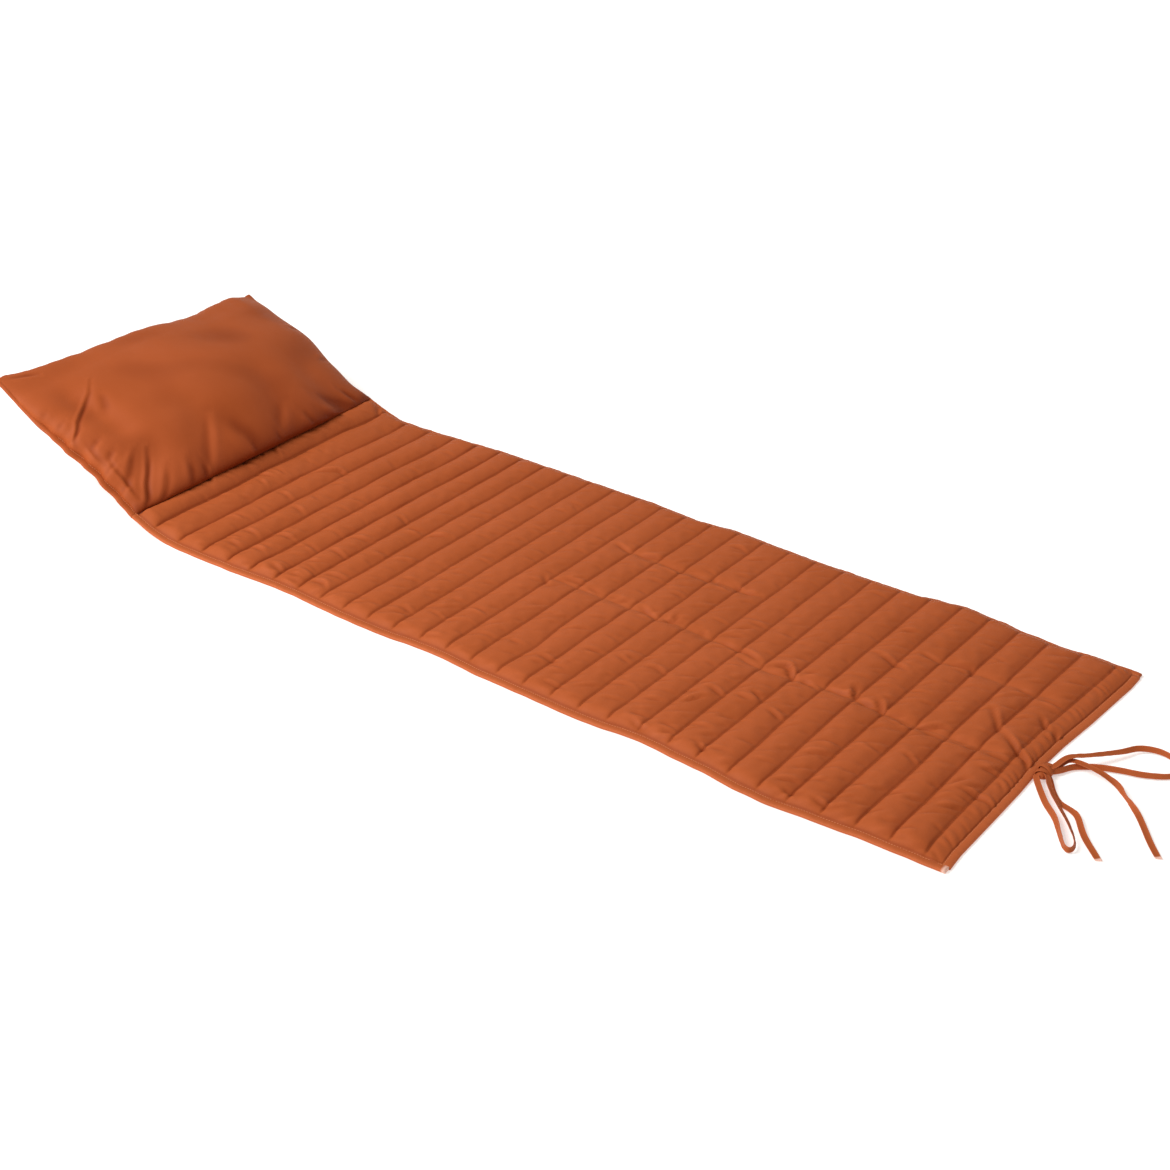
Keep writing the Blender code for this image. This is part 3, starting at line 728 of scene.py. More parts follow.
mat = {
    "crownHeight": 0.0152,
    # Distance from the seam, how far the rows of stitches lie below the crowns
    "rowDepth": ((0.00, 0.0098), (0.05, 0.0088), (0.30, 0.0078), (0.55, 0.0037), (1.00, 0.0032),
                 (1.20, 0.0048), (1.54, 0.0060)),
    "shallower": (1.08, 0.30),   # share of that depth at the near side, and how much less at the far side
    "crownPower": 0.52,          # lower is fuller
    "lieBack": (14, 10, 0.20),   # the filling lies back from this channel on: over how many, how much
    "bandCrown": (0.30, 0.9),    # of the plain band at the foot: share of the height, of the length
    "unevenLong": (0.17, 0.13),  # of the crowns along a channel: share, size
    "unevenSmall": (0.08, 0.06),
    "edgeHeight": 0.0042,
    "leastHeight": 0.0022,
    "pitch": 0.0515,             # from row to row
    "stitchPull": 0.0016,        # the thread draws a narrow line in
    "pullWidth": 0.0024,
    "seamPull": (0.0030, 0.0040),            # drawn down into the pillow seam: depth, reach
    "sideTaper": 0.022,          # the padding thins out this close to the bindings
    "footTaper": 0.022,
    "taperPower": 0.8,
    # Places of the points across a channel, closer together beside the stitches
    "across": (0.0, 0.028, 0.080, 0.150, 0.225, 0.310, 0.400, 0.5, 0.600, 0.690, 0.775, 0.850, 0.920, 0.972),
    "groove": 0.0022,            # under a row
    "tuck": 0.0025,              # how far the cloth goes into the binding
    "farCover": 0.0085,          # and how far the padding rolls over the far one
    "footCover": 0.0012,
    "cells": 7,                  # of a channel, before it is doubled
    "footCells": 4,
    "columns": 112,
    "underStep": 16,             # the under side has one column for so many of the top
    "startHeight": 0.92,         # of the height, before it swells
    "heldColumns": 3,
    "pressure": 10.0,
    "growth": 0.06,
    "swellCap": 0.0060,
    "looseness": (0.35, 0.45, 0.35),         # everywhere, more at the near side, more at the foot
    "pleatApart": 0.0180,
    "footGathers": 0.0036,
    "seamGathers": 0.0011,
    "crumple": (0.00035, 0.022),             # height, size
    # Where single rows wander: row, place across, reach, shift to the foot
    "rowShifts": ((15, -0.20, 0.05, 0.006), (23, -0.27, 0.08, 0.005), (24, -0.27, 0.08, 0.005),
                  (1, 0.24, 0.05, 0.006), (2, 0.22, 0.08, 0.007), (3, 0.22, 0.08, 0.006),
                  (4, 0.22, 0.08, 0.005), (5, 0.22, 0.08, 0.005), (6, 0.22, 0.08, 0.004)),
    "rowWander": (0.0010, 0.16),             # how far the rows wander, and over what length
    # Long soft hollows where the mat was folded: place across, first and last distance, depth
    "foldLines": ((-0.018, 0.66, 1.06, 0.0036), (-0.036, 1.02, 1.50, 0.0046), (0.128, 0.68, 0.99, 0.0036),
                  (0.136, 1.24, 1.50, 0.0030)),
    # Painted shade, darker colour where shade falls: width along the rows, share and depth of the creases,
    # width along the bindings
    "rowShade": 0.0020,
    "creaseShade": (0.6, 0.0030),
    "edgeShade": 0.0022,
    # Painted shade on the slopes that face the foot, towards the foot: share, from this distance, over, place
    # in the channel, width
    "slopeShade": (0.42, 1.05, 0.35, 0.84, 0.11),
    "creaseWidth": 1.2,          # of what the lists say
    "creaseStrength": {"headCreases": 2.1, "middleCreases": 1.8, "footCreases": 2.2},
    # Creases: depth, width, points
    "headCreases": (
        (2.2, 4.0, (107, 15), (143, 51), (159, 53)), (2.0, 4.0, (424, -39), (458, -17)),
        (1.2, -3.6, (382, -39), (413, -32)), (1.2, 3.6, (332, -120), (364, -104)),
        (1.0, 3.6, (341, -17), (368, -21)), (1.4, 3.6, (3, 20), (31, 15)), (2.0, -4.0, (3, -46), (15, -56)),
        (1.4, 3.6, (3, -5), (18, -12)), (1.4, 3.6, (4, -128), (18, -138)), (1.2, 3.4, (42, -50), (73, -41)),
        (1.1, -3.4, (49, -19), (80, -19)), (1.1, 3.4, (58, -66), (82, -71)), (1.1, 3.2, (42, 69), (57, 71)),
        (0.9, -3.2, (62, 85), (76, 83)), (1.1, 3.2, (33, -172), (46, -170)), (1.0, 3.6, (170, 2), (188, 15)),
        (1.0, -3.6, (172, -48), (190, -53)), (1.1, 3.6, (175, -98), (202, -102)),
        (1.0, 3.6, (116, -75), (152, -75)), (1.1, -3.6, (112, -176), (139, -174)),
        (1.3, 3.6, (166, -208), (199, -206)), (1.2, -3.4, (166, -233), (186, -226)),
        (1.2, 3.6, (175, -251), (206, -251)), (1.3, 3.6, (217, -183), (260, -179)),
        (1.2, -3.4, (220, -224), (251, -224)), (1.2, 3.4, (217, -239), (251, -242)),
        (1.2, 3.4, (271, -192), (296, -183)), (1.3, -3.6, (278, -179), (314, -179)),
        (1.3, 3.6, (328, -170), (368, -170)), (1.3, 3.6, (325, -219), (346, -210)),
        (1.2, -3.4, (337, -239), (368, -239)), (1.4, 3.6, (377, -233), (418, -221)),
        (1.2, 3.4, (325, -264), (350, -260)), (1.1, -3.4, (328, -273), (364, -275)),
        (1.4, 3.6, (368, -260), (395, -255), (409, -264)), (1.1, 3.4, (283, -262), (314, -264)),
        (2.0, 4.0, (22, 284), (46, 258)),
    ),
    "middleCreases": (
        (1.3, 3.6, (692, 130), (724, 123)), (1.5, 3.6, (742, 123), (782, 141)),
        (1.5, -3.6, (791, 121), (841, 119)), (1.4, 3.6, (845, 119), (888, 123)),
        (2.0, 3.6, (883, 137), (890, 123)), (1.4, -3.6, (895, 121), (924, 121)),
        (2.2, 4.0, (924, 137), (940, 125)), (1.4, 3.6, (944, 125), (969, 132)),
        (1.3, 3.6, (692, -12), (733, -3)), (1.3, -3.6, (742, -10), (766, -14)),
        (1.5, 3.6, (800, -19), (818, -3)), (1.6, 3.8, (841, -8), (888, -26)),
        (2.0, 4.0, (895, -26), (908, -12), (901, 11)), (1.5, 3.4, (913, -12), (926, -3)),
        (1.4, 3.2, (935, 8), (944, 4)), (2.3, 4.0, (958, -10), (969, -19)),
        (1.5, -3.8, (996, -23), (1045, -23)), (1.2, 3.6, (661, -21), (683, -44)),
        (1.2, 3.6, (685, -53), (703, -30)), (1.0, 3.8, (845, 234), (862, 240), (881, 236)),
        (1.2, 3.6, (895, 211), (919, 236)), (1.1, 3.6, (859, 51), (881, 58)),
        (1.2, -3.6, (1003, 24), (1021, 44)), (1.3, 3.6, (1000, -3), (1025, 13)),
        (1.0, 3.4, (944, -66), (962, -62)), (1.0, 3.6, (539, 161), (559, 168)),
        (1.1, -3.6, (535, -138), (557, -125)), (1.1, 3.6, (539, -109), (557, -100)),
        (1.1, 3.4, (598, -174), (616, -165)), (1.2, -3.6, (638, -170), (667, -170)),
        (1.1, 3.4, (742, -212), (764, -210)), (1.3, 3.6, (802, -219), (841, -215)),
        (1.3, -3.6, (852, -165), (877, -154)), (1.2, 3.4, (852, -210), (861, -197)),
        (1.1, 3.6, (899, -149), (919, -152)), (1.2, 3.8, (949, -150), (968, -142), (989, -145)),
        (2.0, 3.8, (548, -237), (568, -238)), (1.3, -3.6, (544, -255), (571, -244)),
        (1.3, 3.6, (850, -271), (890, -266)), (1.3, 3.6, (1003, -219), (1025, -206)),
        (1.3, -3.6, (1007, -260), (1034, -251)), (1.4, 3.6, (1012, -273), (1052, -280)),
    ),
    "footCreases": (
        (1.5, 3.8, (1032, -19), (1077, -30)), (2.4, 4.0, (1095, -30), (1118, -17), (1145, -44)),
        (1.4, -3.6, (1147, -19), (1165, -8)), (1.5, 3.6, (1154, -35), (1187, -44)),
        (1.4, 3.6, (1196, -35), (1226, -28)), (2.4, -4.0, (1226, -3), (1241, -30)),
        (1.5, 3.6, (1248, -32), (1277, -32)), (2.4, 4.0, (1271, -14), (1291, -39)),
        (1.5, -3.6, (1311, -44), (1343, -46)), (1.7, 3.8, (1347, -46), (1381, -17)),
        (1.4, 3.6, (1356, -48), (1397, -44)), (1.5, -3.6, (1401, -48), (1433, -39)),
        (1.6, 3.8, (1455, -44), (1496, -37)), (1.8, 4.0, (1410, 65), (1451, 15)),
        (2.6, 4.2, (1455, 15), (1505, -17), (1523, -40)), (1.7, 3.8, (1478, 87), (1500, 65)),
        (2.2, 4.0, (1509, 76), (1522, 46)), (1.4, 3.6, (1257, 132), (1293, 132)),
        (1.6, -3.6, (1307, 132), (1338, 143), (1347, 128)), (1.4, 3.6, (1419, 132), (1446, 134)),
        (1.5, -3.6, (1457, 128), (1493, 128)), (1.3, 3.6, (1205, 173), (1226, 184)),
        (1.4, 3.8, (1208, 92), (1246, 85), (1266, 74)), (1.4, -3.6, (1041, -134), (1057, -120)),
        (1.4, 3.6, (1059, -138), (1088, -140)), (1.3, 3.6, (1100, -129), (1124, -129)),
        (1.3, -3.6, (1113, -107), (1138, -116)), (1.4, 3.6, (1158, -136), (1187, -143)),
        (1.6, 3.8, (1255, -197), (1291, -174)), (1.4, -3.6, (1349, -219), (1363, -206)),
        (1.4, 3.6, (1399, -203), (1415, -192)), (1.4, 3.6, (1370, -113), (1392, -122)),
        (1.6, -3.8, (1453, -134), (1469, -111)), (1.8, 3.8, (1469, -140), (1498, -136), (1520, -143)),
        (1.5, 3.6, (1257, -273), (1289, -255)), (1.4, -3.4, (1275, -283), (1302, -284)),
        (1.4, 3.4, (1322, -278), (1349, -280)), (1.4, 3.6, (1309, -242), (1318, -230)),
        (2.2, 3.8, (1050, -192), (1066, -161)), (1.4, -3.6, (1068, -273), (1086, -260)),
        (1.4, 3.6, (1122, -264), (1147, -272)),
    ),
}
gathers = {
    "strength": 1.4,
    "side": 0.285,               # as far from the middle line as this
    "busy": (0.45, 0.50, 0.35),  # everywhere, more at the near side, more at the foot
    "run": (9, 27),              # millimetres, least and most, as all that follow
    "runLast": (14, 34),
    "runFoot": (9, 15),
    "depth": (0.3, 1.3),
    "depthFoot": (0.8, 1.6),
    "width": (2.8, 3.8),
    "slant": (0.62, 0.30),       # middle and spread
    "slantFoot": (-0.55, 0.2),
    "apart": (0.014, 0.052),     # metres
    "apartFoot": (0.014, 0.026),
}


def rowLine(row, y):
    # Where a row of stitches runs; sewn rows wander a little
    line = np.interp(row, cushion["rowPlaces"], cushion["rowDistances"]) + 0 * y
    if row == 0:
        return line
    far, size = mat["rowWander"]
    line = line + far * lineNoise(y, size, 300 + row, 6)
    for which, middle, reach, shift in mat["rowShifts"]:
        if which == row:
            line = line + shift * np.exp(-((y - middle) / reach) ** 2)
    return line


def matPlaces(cells):
    within = mat["across"][::len(mat["across"]) // cells]
    places = [channel + share for channel in range(cushion["channels"]) for share in within]
    footCells = mat["footCells"] * cells // mat["cells"]
    return np.array(places + [cushion["channels"] + i / footCells for i in range(footCells + 1)])


def matGrid(cells, columns):
    # Distance from the seam and y of every point of the top, row by row
    places = matPlaces(cells)
    shares = np.linspace(0, 1, columns + 1)
    straight = np.interp(places, cushion["rowPlaces"], cushion["rowDistances"])
    footEnd = cushion["length"] - cushion["binding"] + mat["footCover"]
    lastRow = cushion["rowDistances"][-1]
    band = lastRow + (places - cushion["channels"]) * (footEnd - lastRow)
    straight = np.where(places > cushion["channels"], band, straight)
    low = nearLine(straight) + cushion["binding"] - mat["tuck"]
    high = farLine(straight) - cushion["binding"] + mat["farCover"]
    y = low[:, None] + (high - low)[:, None] * shares[None, :]
    distance = np.zeros_like(y)
    for i, place in enumerate(places):
        row = min(int(place + 1e-9), cushion["channels"])
        start = rowLine(row, y[i])
        end = rowLine(row + 1, y[i]) if row < cushion["channels"] else np.full(len(shares), footEnd)
        distance[i] = start + (end - start) * (place - row)
    distance += footShift(distance, shares[None, :])
    return places, shares, distance, y, low, high


def rowsShow(side):
    # The rows of stitches start a little inside the bindings
    return ease((side - 0.004) / 0.010)


def matHeight(places, shares, distance, y, low, high):
    within = places % 1.0
    first, over, much = mat["lieBack"]
    toHead = 1 - much * ease((places - first) / over)
    crown = np.sin(np.pi * within ** toHead) ** mat["crownPower"]
    bandHeight, bandLength = mat["bandCrown"]
    band = bandHeight * np.sin(np.pi * np.clip((places - cushion["channels"]) / bandLength, 0, 1))
    crown = np.where(places >= cushion["channels"] - 1e-9, band, crown)[:, None] + 0 * y
    side = np.minimum(y - low[:, None], high[:, None] - y)
    padding = np.sin(0.5 * np.pi * np.clip((side - 0.0015) / mat["sideTaper"], 0, 1)) ** mat["taperPower"]
    toFoot = cushion["length"] - cushion["binding"] + footShift(distance, shares[None, :]) - distance
    taper = np.sin(0.5 * np.pi * np.clip((toFoot + 0.001) / mat["footTaper"], 0, 1)) ** mat["taperPower"]
    padding = padding * taper
    longShare, longSize = mat["unevenLong"]
    smallShare, smallSize = mat["unevenSmall"]
    channel = np.floor(places)[:, None]
    uneven = (1 + longShare * softNoise(y, 0.4 * channel, longSize, 41)
              + smallShare * softNoise(distance, y, smallSize, 42))
    near, less = mat["shallower"]
    shallower = near - less * shares[None, :]
    full = mat["crownHeight"] - readTable(mat["rowDepth"], distance) * shallower * (1 - crown * uneven)
    height = mat["edgeHeight"] + (full - mat["edgeHeight"]) * padding
    nearest = np.round(places)
    fromRow = np.abs(places - nearest)[:, None] * mat["pitch"]
    sewn = ((nearest >= 1) & (nearest <= cushion["channels"]))[:, None]
    depth, reach = mat["seamPull"]
    height -= depth * np.exp(-(distance / reach) ** 2)
    height -= mat["stitchPull"] * np.exp(-(fromRow / mat["pullWidth"]) ** 2) * rowsShow(side) * sewn
    for middle, first, last, depth in mat["foldLines"]:
        ends = ease((distance - first) / 0.05) * ease((last - distance) / 0.05)
        away = y - (middle + 0.006 * lineNoise(distance, 0.2, 43))
        bend = np.exp(-(away / 0.0100) ** 2) + 0.35 * np.exp(-(away / 0.0034) ** 2)
        height -= depth * ends * bend * (0.25 + 0.75 * crown)
    return height, crown, padding, side, fromRow


def rowGathers():
    # Short gathers that start at the rows of stitches; more of them towards the near side and the foot
    draw = np.random.default_rng(77)
    creases = []
    for row in range(0, cushion["channels"] + 1):
        for way in (-1, 1):
            if row == 0 and way < 0:
                continue
            atFoot = row == cushion["channels"] and way > 0
            y = -gathers["side"] + draw.uniform(0, 0.02)
            while y < gathers["side"]:
                start = float(rowLine(row, np.array(y)))
                busy = busier(y, start, *gathers["busy"])
                run = draw.uniform(*gathers["run"]) * (0.7 + 0.5 * busy)
                slant = draw.normal(*gathers["slant"])
                depth = draw.uniform(*gathers["depth"]) * busy
                if row >= cushion["channels"] - 1 and way < 0:
                    run = draw.uniform(*gathers["runLast"])
                    depth = depth * 1.5
                if atFoot:
                    run = draw.uniform(*gathers["runFoot"])
                    slant = draw.normal(*gathers["slantFoot"])
                    depth = draw.uniform(*gathers["depthFoot"])
                width = draw.uniform(*gathers["width"]) * draw.choice((-1, 1))
                begin = (1000 * start + 1.5 * way, 1000 * y)
                creases.append((depth, width, begin, (begin[0] + way * run, begin[1] + way * slant * run)))
                y += draw.uniform(*gathers["apartFoot" if atFoot else "apart"])
    return creases


def pleats(y, slanted, wander, size, seed):
    # Gathered cloth: round folds side by side
    phase = (y + slanted) / mat["pleatApart"] + wander * lineNoise(y, size, seed, 8)
    return np.abs(np.sin(np.pi * phase)) ** 0.75 - 0.62


def matRelief(places, distance, y, crown, padding):
    relief = np.zeros_like(y)
    lists = [(mat[name], strength) for name, strength in mat["creaseStrength"].items()]
    for creases, strength in lists + [(rowGathers(), gathers["strength"])]:
        pressed = np.zeros_like(y)
        wider = [(depth, mat["creaseWidth"] * width, *points) for depth, width, *points in creases]
        pressCreases(pressed, distance, y, wider)
        relief += strength * pressed
    relief *= np.where(places[:, None] > cushion["channels"], 1.0, 0.25 + 0.75 * padding)
    height, size = mat["crumple"]
    relief += height * softNoise(distance, y, size, 51, 20) * padding * (0.4 + 0.6 * crown)
    # Gathered cloth beside the foot binding and, fainter, along the pillow seam
    past = distance - rowLine(cushion["channels"], y)
    band = ease(past / 0.006) * ease((0.0285 - past) / 0.008)
    strong = np.clip(0.45 + 0.75 * lineNoise(y, 0.045, 53, 8), 0.05, 1.3)
    relief += mat["footGathers"] * band * pleats(y, 0.75 * past, 0.65, 0.065, 52) * strong
    band = ease(distance / 0.004) * ease((0.024 - distance) / 0.012)
    band = band * np.clip(0.5 + 0.7 * lineNoise(y, 0.09, 55, 8), 0, 1)
    relief += mat["seamGathers"] * band * pleats(y, -0.5 * distance, 0.45, 0.10, 54)
    return relief


def matPaintedShade(places, shares, distance, y, relief, padding, side, fromRow):
    # Painted shade: darker colour along the rows, in the creases, where the cloth tucks into the bindings and
    # on the slopes that face the foot
    share, deepest = mat["creaseShade"]
    hollow = (np.exp(-(fromRow / mat["rowShade"]) ** 2) * rowsShow(side)
              + np.clip(-relief / deepest, 0, 1) * share
              + np.exp(-((side - mat["tuck"]) / mat["edgeShade"]) ** 2))
    share, start, over, middle, width = mat["slopeShade"]
    slope = places[:, None] % 1.0
    patchy = np.clip(0.55 + 0.35 * shares[None, :] + 0.55 * softNoise(y, distance, 0.12, 45), 0, 1)
    hollow += (share * ease((distance - start) / over) * np.exp(-((slope - middle) / width) ** 2)
               * (slope > 0) * patchy) * padding
    return np.clip(hollow, 0, 1)


def makeMat():
    places, shares, distance, y, low, high = matGrid(mat["cells"], mat["columns"])
    height = matHeight(places, shares, distance, y, low, high)[0]
    z = headLift(distance) + mat["startHeight"] * height
    start = np.stack([cushion["seamX"] + distance, y, z], axis=-1)
    fixed = np.zeros(y.shape, dtype=bool)
    fixed[np.abs(places - np.round(places)) < 1e-6] = True
    fixed[-1] = True
    fixed[:, :mat["heldColumns"]] = True
    fixed[:, -mat["heldColumns"]:] = True
    loose = np.clip(busier(y, distance, *mat["looseness"]), 0, 1)
    flat = start.reshape(-1, 3)
    swollen = swell(flat, gridFaces(*y.shape), np.nonzero(fixed.ravel())[0], mat["pressure"], mat["growth"],
                    mat["swellCap"], looseness=loose.ravel())
    moved = doubleGrid((swollen - flat).reshape(start.shape))

    places, shares, distance, y, low, high = matGrid(2 * mat["cells"], 2 * mat["columns"])
    height, crown, padding, side, fromRow = matHeight(places, shares, distance, y, low, high)
    relief = matRelief(places, distance, y, crown, padding)
    lift = headLift(distance)
    top = np.stack([cushion["seamX"] + distance, y, lift + height + relief], axis=-1) + moved
    top[..., 2] = np.maximum(top[..., 2], lift + mat["leastHeight"])
    picked = slice(None, None, mat["underStep"])
    groove = mat["groove"] * np.maximum(0.0, 1 - 6 * crown[:, picked] ** 2)
    groove *= ease((places[:, None] - 0.2) / 0.5)
    groove[:, [0, -1]] = 0.0
    groove[places >= cushion["channels"] - 1e-9] = 0.0
    under = np.stack([cushion["seamX"] + distance[:, picked], y[:, picked], lift[:, picked] + groove],
                     axis=-1)
    # Painted shade for the colour: rows, creases, binding edges and foot-facing slopes
    hollow = matPaintedShade(places, shares, distance, y, relief, padding, side, fromRow)
    rubbed = np.clip(relief / 0.0012, 0, 1) * crown
    extra = np.zeros(groove.size)
    piece = makePiece("matCloth", *closedForm(top, under), "quilted cloth", "quilted_cloth", "quilted_mat",
                      [("hollow", np.concatenate([hollow.ravel(), extra])),
                       ("rubbed", np.concatenate([rubbed.ravel(), extra]))])
    return top


matTop = makeMat()
print("stage: quilted mat")


# Stitches are short rounded threads

stitches = {
    "row": {"stitch": 0.0034, "gap": 0.0012, "thick": 0.0005, "rise": 0.0001},
    "edge": {"stitch": 0.0034, "gap": 0.0008, "thick": 0.0008, "rise": 0.00012},
    "uneven": 0.0002,
    "above": 0.0001,             # the cloth
    "around": 5,
    # Share of the length, how high it rises, share of the thickness
    "form": ((0.0, -1.2, 0.35), (0.18, 0.35, 0.85), (0.5, 1.0, 1.0), (0.82, 0.35, 0.85), (1.0, -1.2, 0.35)),
}


def threadStitches(name, lines, plan, slot, finish, seed):
    # Each line is an array of points that the stitches follow
    draw = np.random.default_rng(seed)
    shares, rises, sizes = np.array(stitches["form"]).T
    turns = [2 * math.pi * k / stitches["around"] for k in range(stitches["around"])]
    pitch = plan["stitch"] + plan["gap"]
    parts = []
    for line in lines:
        steps = np.linalg.norm(np.diff(line, axis=0), axis=1)
        run = np.concatenate([[0], np.cumsum(steps)])
        count = int(run[-1] / pitch)
        shift = draw.uniform(-stitches["uneven"], stitches["uneven"], count)
        starts = (np.arange(count) + 0.25) * pitch + shift
        for start in starts:
            marks = start + plan["stitch"] * shares
            middle = np.stack([np.interp(marks, run, line[:, k]) for k in range(3)], axis=1)
            way = middle[-1] - middle[0]
            way /= np.linalg.norm(way)
            flat = np.cross((0, 0, 1), way)
            flat /= np.linalg.norm(flat)
            up = np.cross(way, flat)
            middle += up * (plan["rise"] * rises)[:, None]
            spokes = [math.cos(turn) * flat + math.sin(turn) * up for turn in turns]
            parts.append(sweep([[place + 0.5 * plan["thick"] * size * out for out in spokes]
                                for place, size in zip(middle, sizes)]))
    points, faces = joinParts(parts)
    makePiece(name, points, faces, finish, slot)


rowLines = []
for channel in range(1, cushion["channels"] + 1):
    rowIndex = channel * 2 * mat["cells"]
    rowLines.append(matTop[rowIndex, 4:-4] + (0, 0, stitches["above"]))
threadStitches("rowStitches", rowLines, stitches["row"], "quilted_cloth", "row thread", 61)
print("stage: rows of stitches")


# Bindings: tape folded round the edge and sewn through

binding = {
    "thickness": 0.0048,
    "step": 0.0035,
    "ripple": 0.00045,           # gathers between the stitches
    "overSeam": 0.0012,          # closes up to the pillow's tape
    "sewnAt": 3,                 # which place of the upper face the top stitching follows
    # Share of the width from the inner side, share of the thickness: the upper face, then the under face
    "upper": ((0.0, 0.62), (0.03, 0.90), (0.10, 0.98), (0.165, 0.86), (0.23, 0.98), (0.40, 1.06),
              (0.62, 1.08), (0.80, 1.02), (0.92, 0.84), (0.985, 0.62)),
    "under": ((1.0, 0.40), (0.97, 0.14), (0.90, 0.0), (0.55, 0.0), (0.20, 0.0), (0.0, 0.0)),
    "worn": (0.3, 0.8, 1.0, 0.6),            # at the outer fold
}
upright = np.array((0.0, 0.0, 1.0))
edgeLines = []


def layTape(name, node, inner, outward, upward, seed, least=0.0, finish="binding cloth", rawEnd=None,
            sewn=True):
    # inner is the line that the tape's inner edge follows, least the height that it stays above
    run = np.concatenate([[0], np.cumsum(np.linalg.norm(np.diff(inner, axis=0), axis=1))])
    ripple = binding["ripple"] * lineNoise(run, 0.012, seed, 10)
    slow = binding["ripple"] * lineNoise(run, 0.05, seed + 1, 8)
    profile = binding["upper"] + binding["under"]
    upperCount = len(binding["upper"])
    stitching = binding["upper"][binding["sewnAt"]][0]
    rings = []
    for i, point in enumerate(inner):
        ring = []
        for k, (out, high) in enumerate(profile):
            rise = 0.0
            if k < upperCount:
                rise = ripple[i] * (0.3 + 0.9 * abs(out - stitching)) + slow[i] * out
            ring.append(point + outward * cushion["binding"] * out
                        + upward * (binding["thickness"] * high + rise))
        rings.append(ring)
    rings = np.array(rings)
    rings[..., 2] = np.maximum(rings[..., 2], least)
    worn = np.zeros(len(profile))
    worn[upperCount - 3:upperCount + 1] = binding["worn"]
    raw = np.zeros((len(rings), len(profile)))
    if rawEnd is not None:
        raw[rawEnd] = 1.0
    makePiece(name, *sweep(rings), finish, "binding_cloth", node,
              [("rubbed", np.tile(worn, len(rings))), ("cutEnd", raw.ravel())])
    if sewn:
        edgeLines.append(rings[:, binding["sewnAt"]] + upward * stitches["above"])


def sideTape(name, node, line, side, seed):
    distance = np.arange(0.0, cushion["length"] + 0.001, binding["step"])
    distance[0] = -binding["overSeam"]
    inner = np.stack([cushion["seamX"] + distance + footShift(distance, 0.5 + 0.5 * side),
                      line(distance) - side * cushion["binding"], headLift(distance)], axis=1)
    layTape(name, node, inner, np.array((0.0, side, 0.0)), upright, seed, headLift(distance)[:, None],
            rawEnd=slice(-2, None) if side < 0 else None)


def footTape():
    low, high = (float(line(np.array(cushion["length"]))) for line in (nearLine, farLine))
    low = low + cushion["binding"] - 0.001
    high = high - cushion["binding"] + 0.001
    y = np.arange(low, high, binding["step"])
    outer = footX + footShift(np.full(len(y), cushion["length"]), (y - low) / (high - low))
    inner = np.stack([outer - cushion["binding"], y, 0 * y], axis=1)
    layTape("footBinding", "mat_binding_foot", inner, np.array((1.0, 0.0, 0.0)), upright, 75)


sideTape("sideBindingNear", "mat_binding_near", nearLine, -1.0, 71)
sideTape("sideBindingFar", "mat_binding_far", farLine, 1.0, 73)
footTape()
print("stage: mat bindings")


# Head pillow

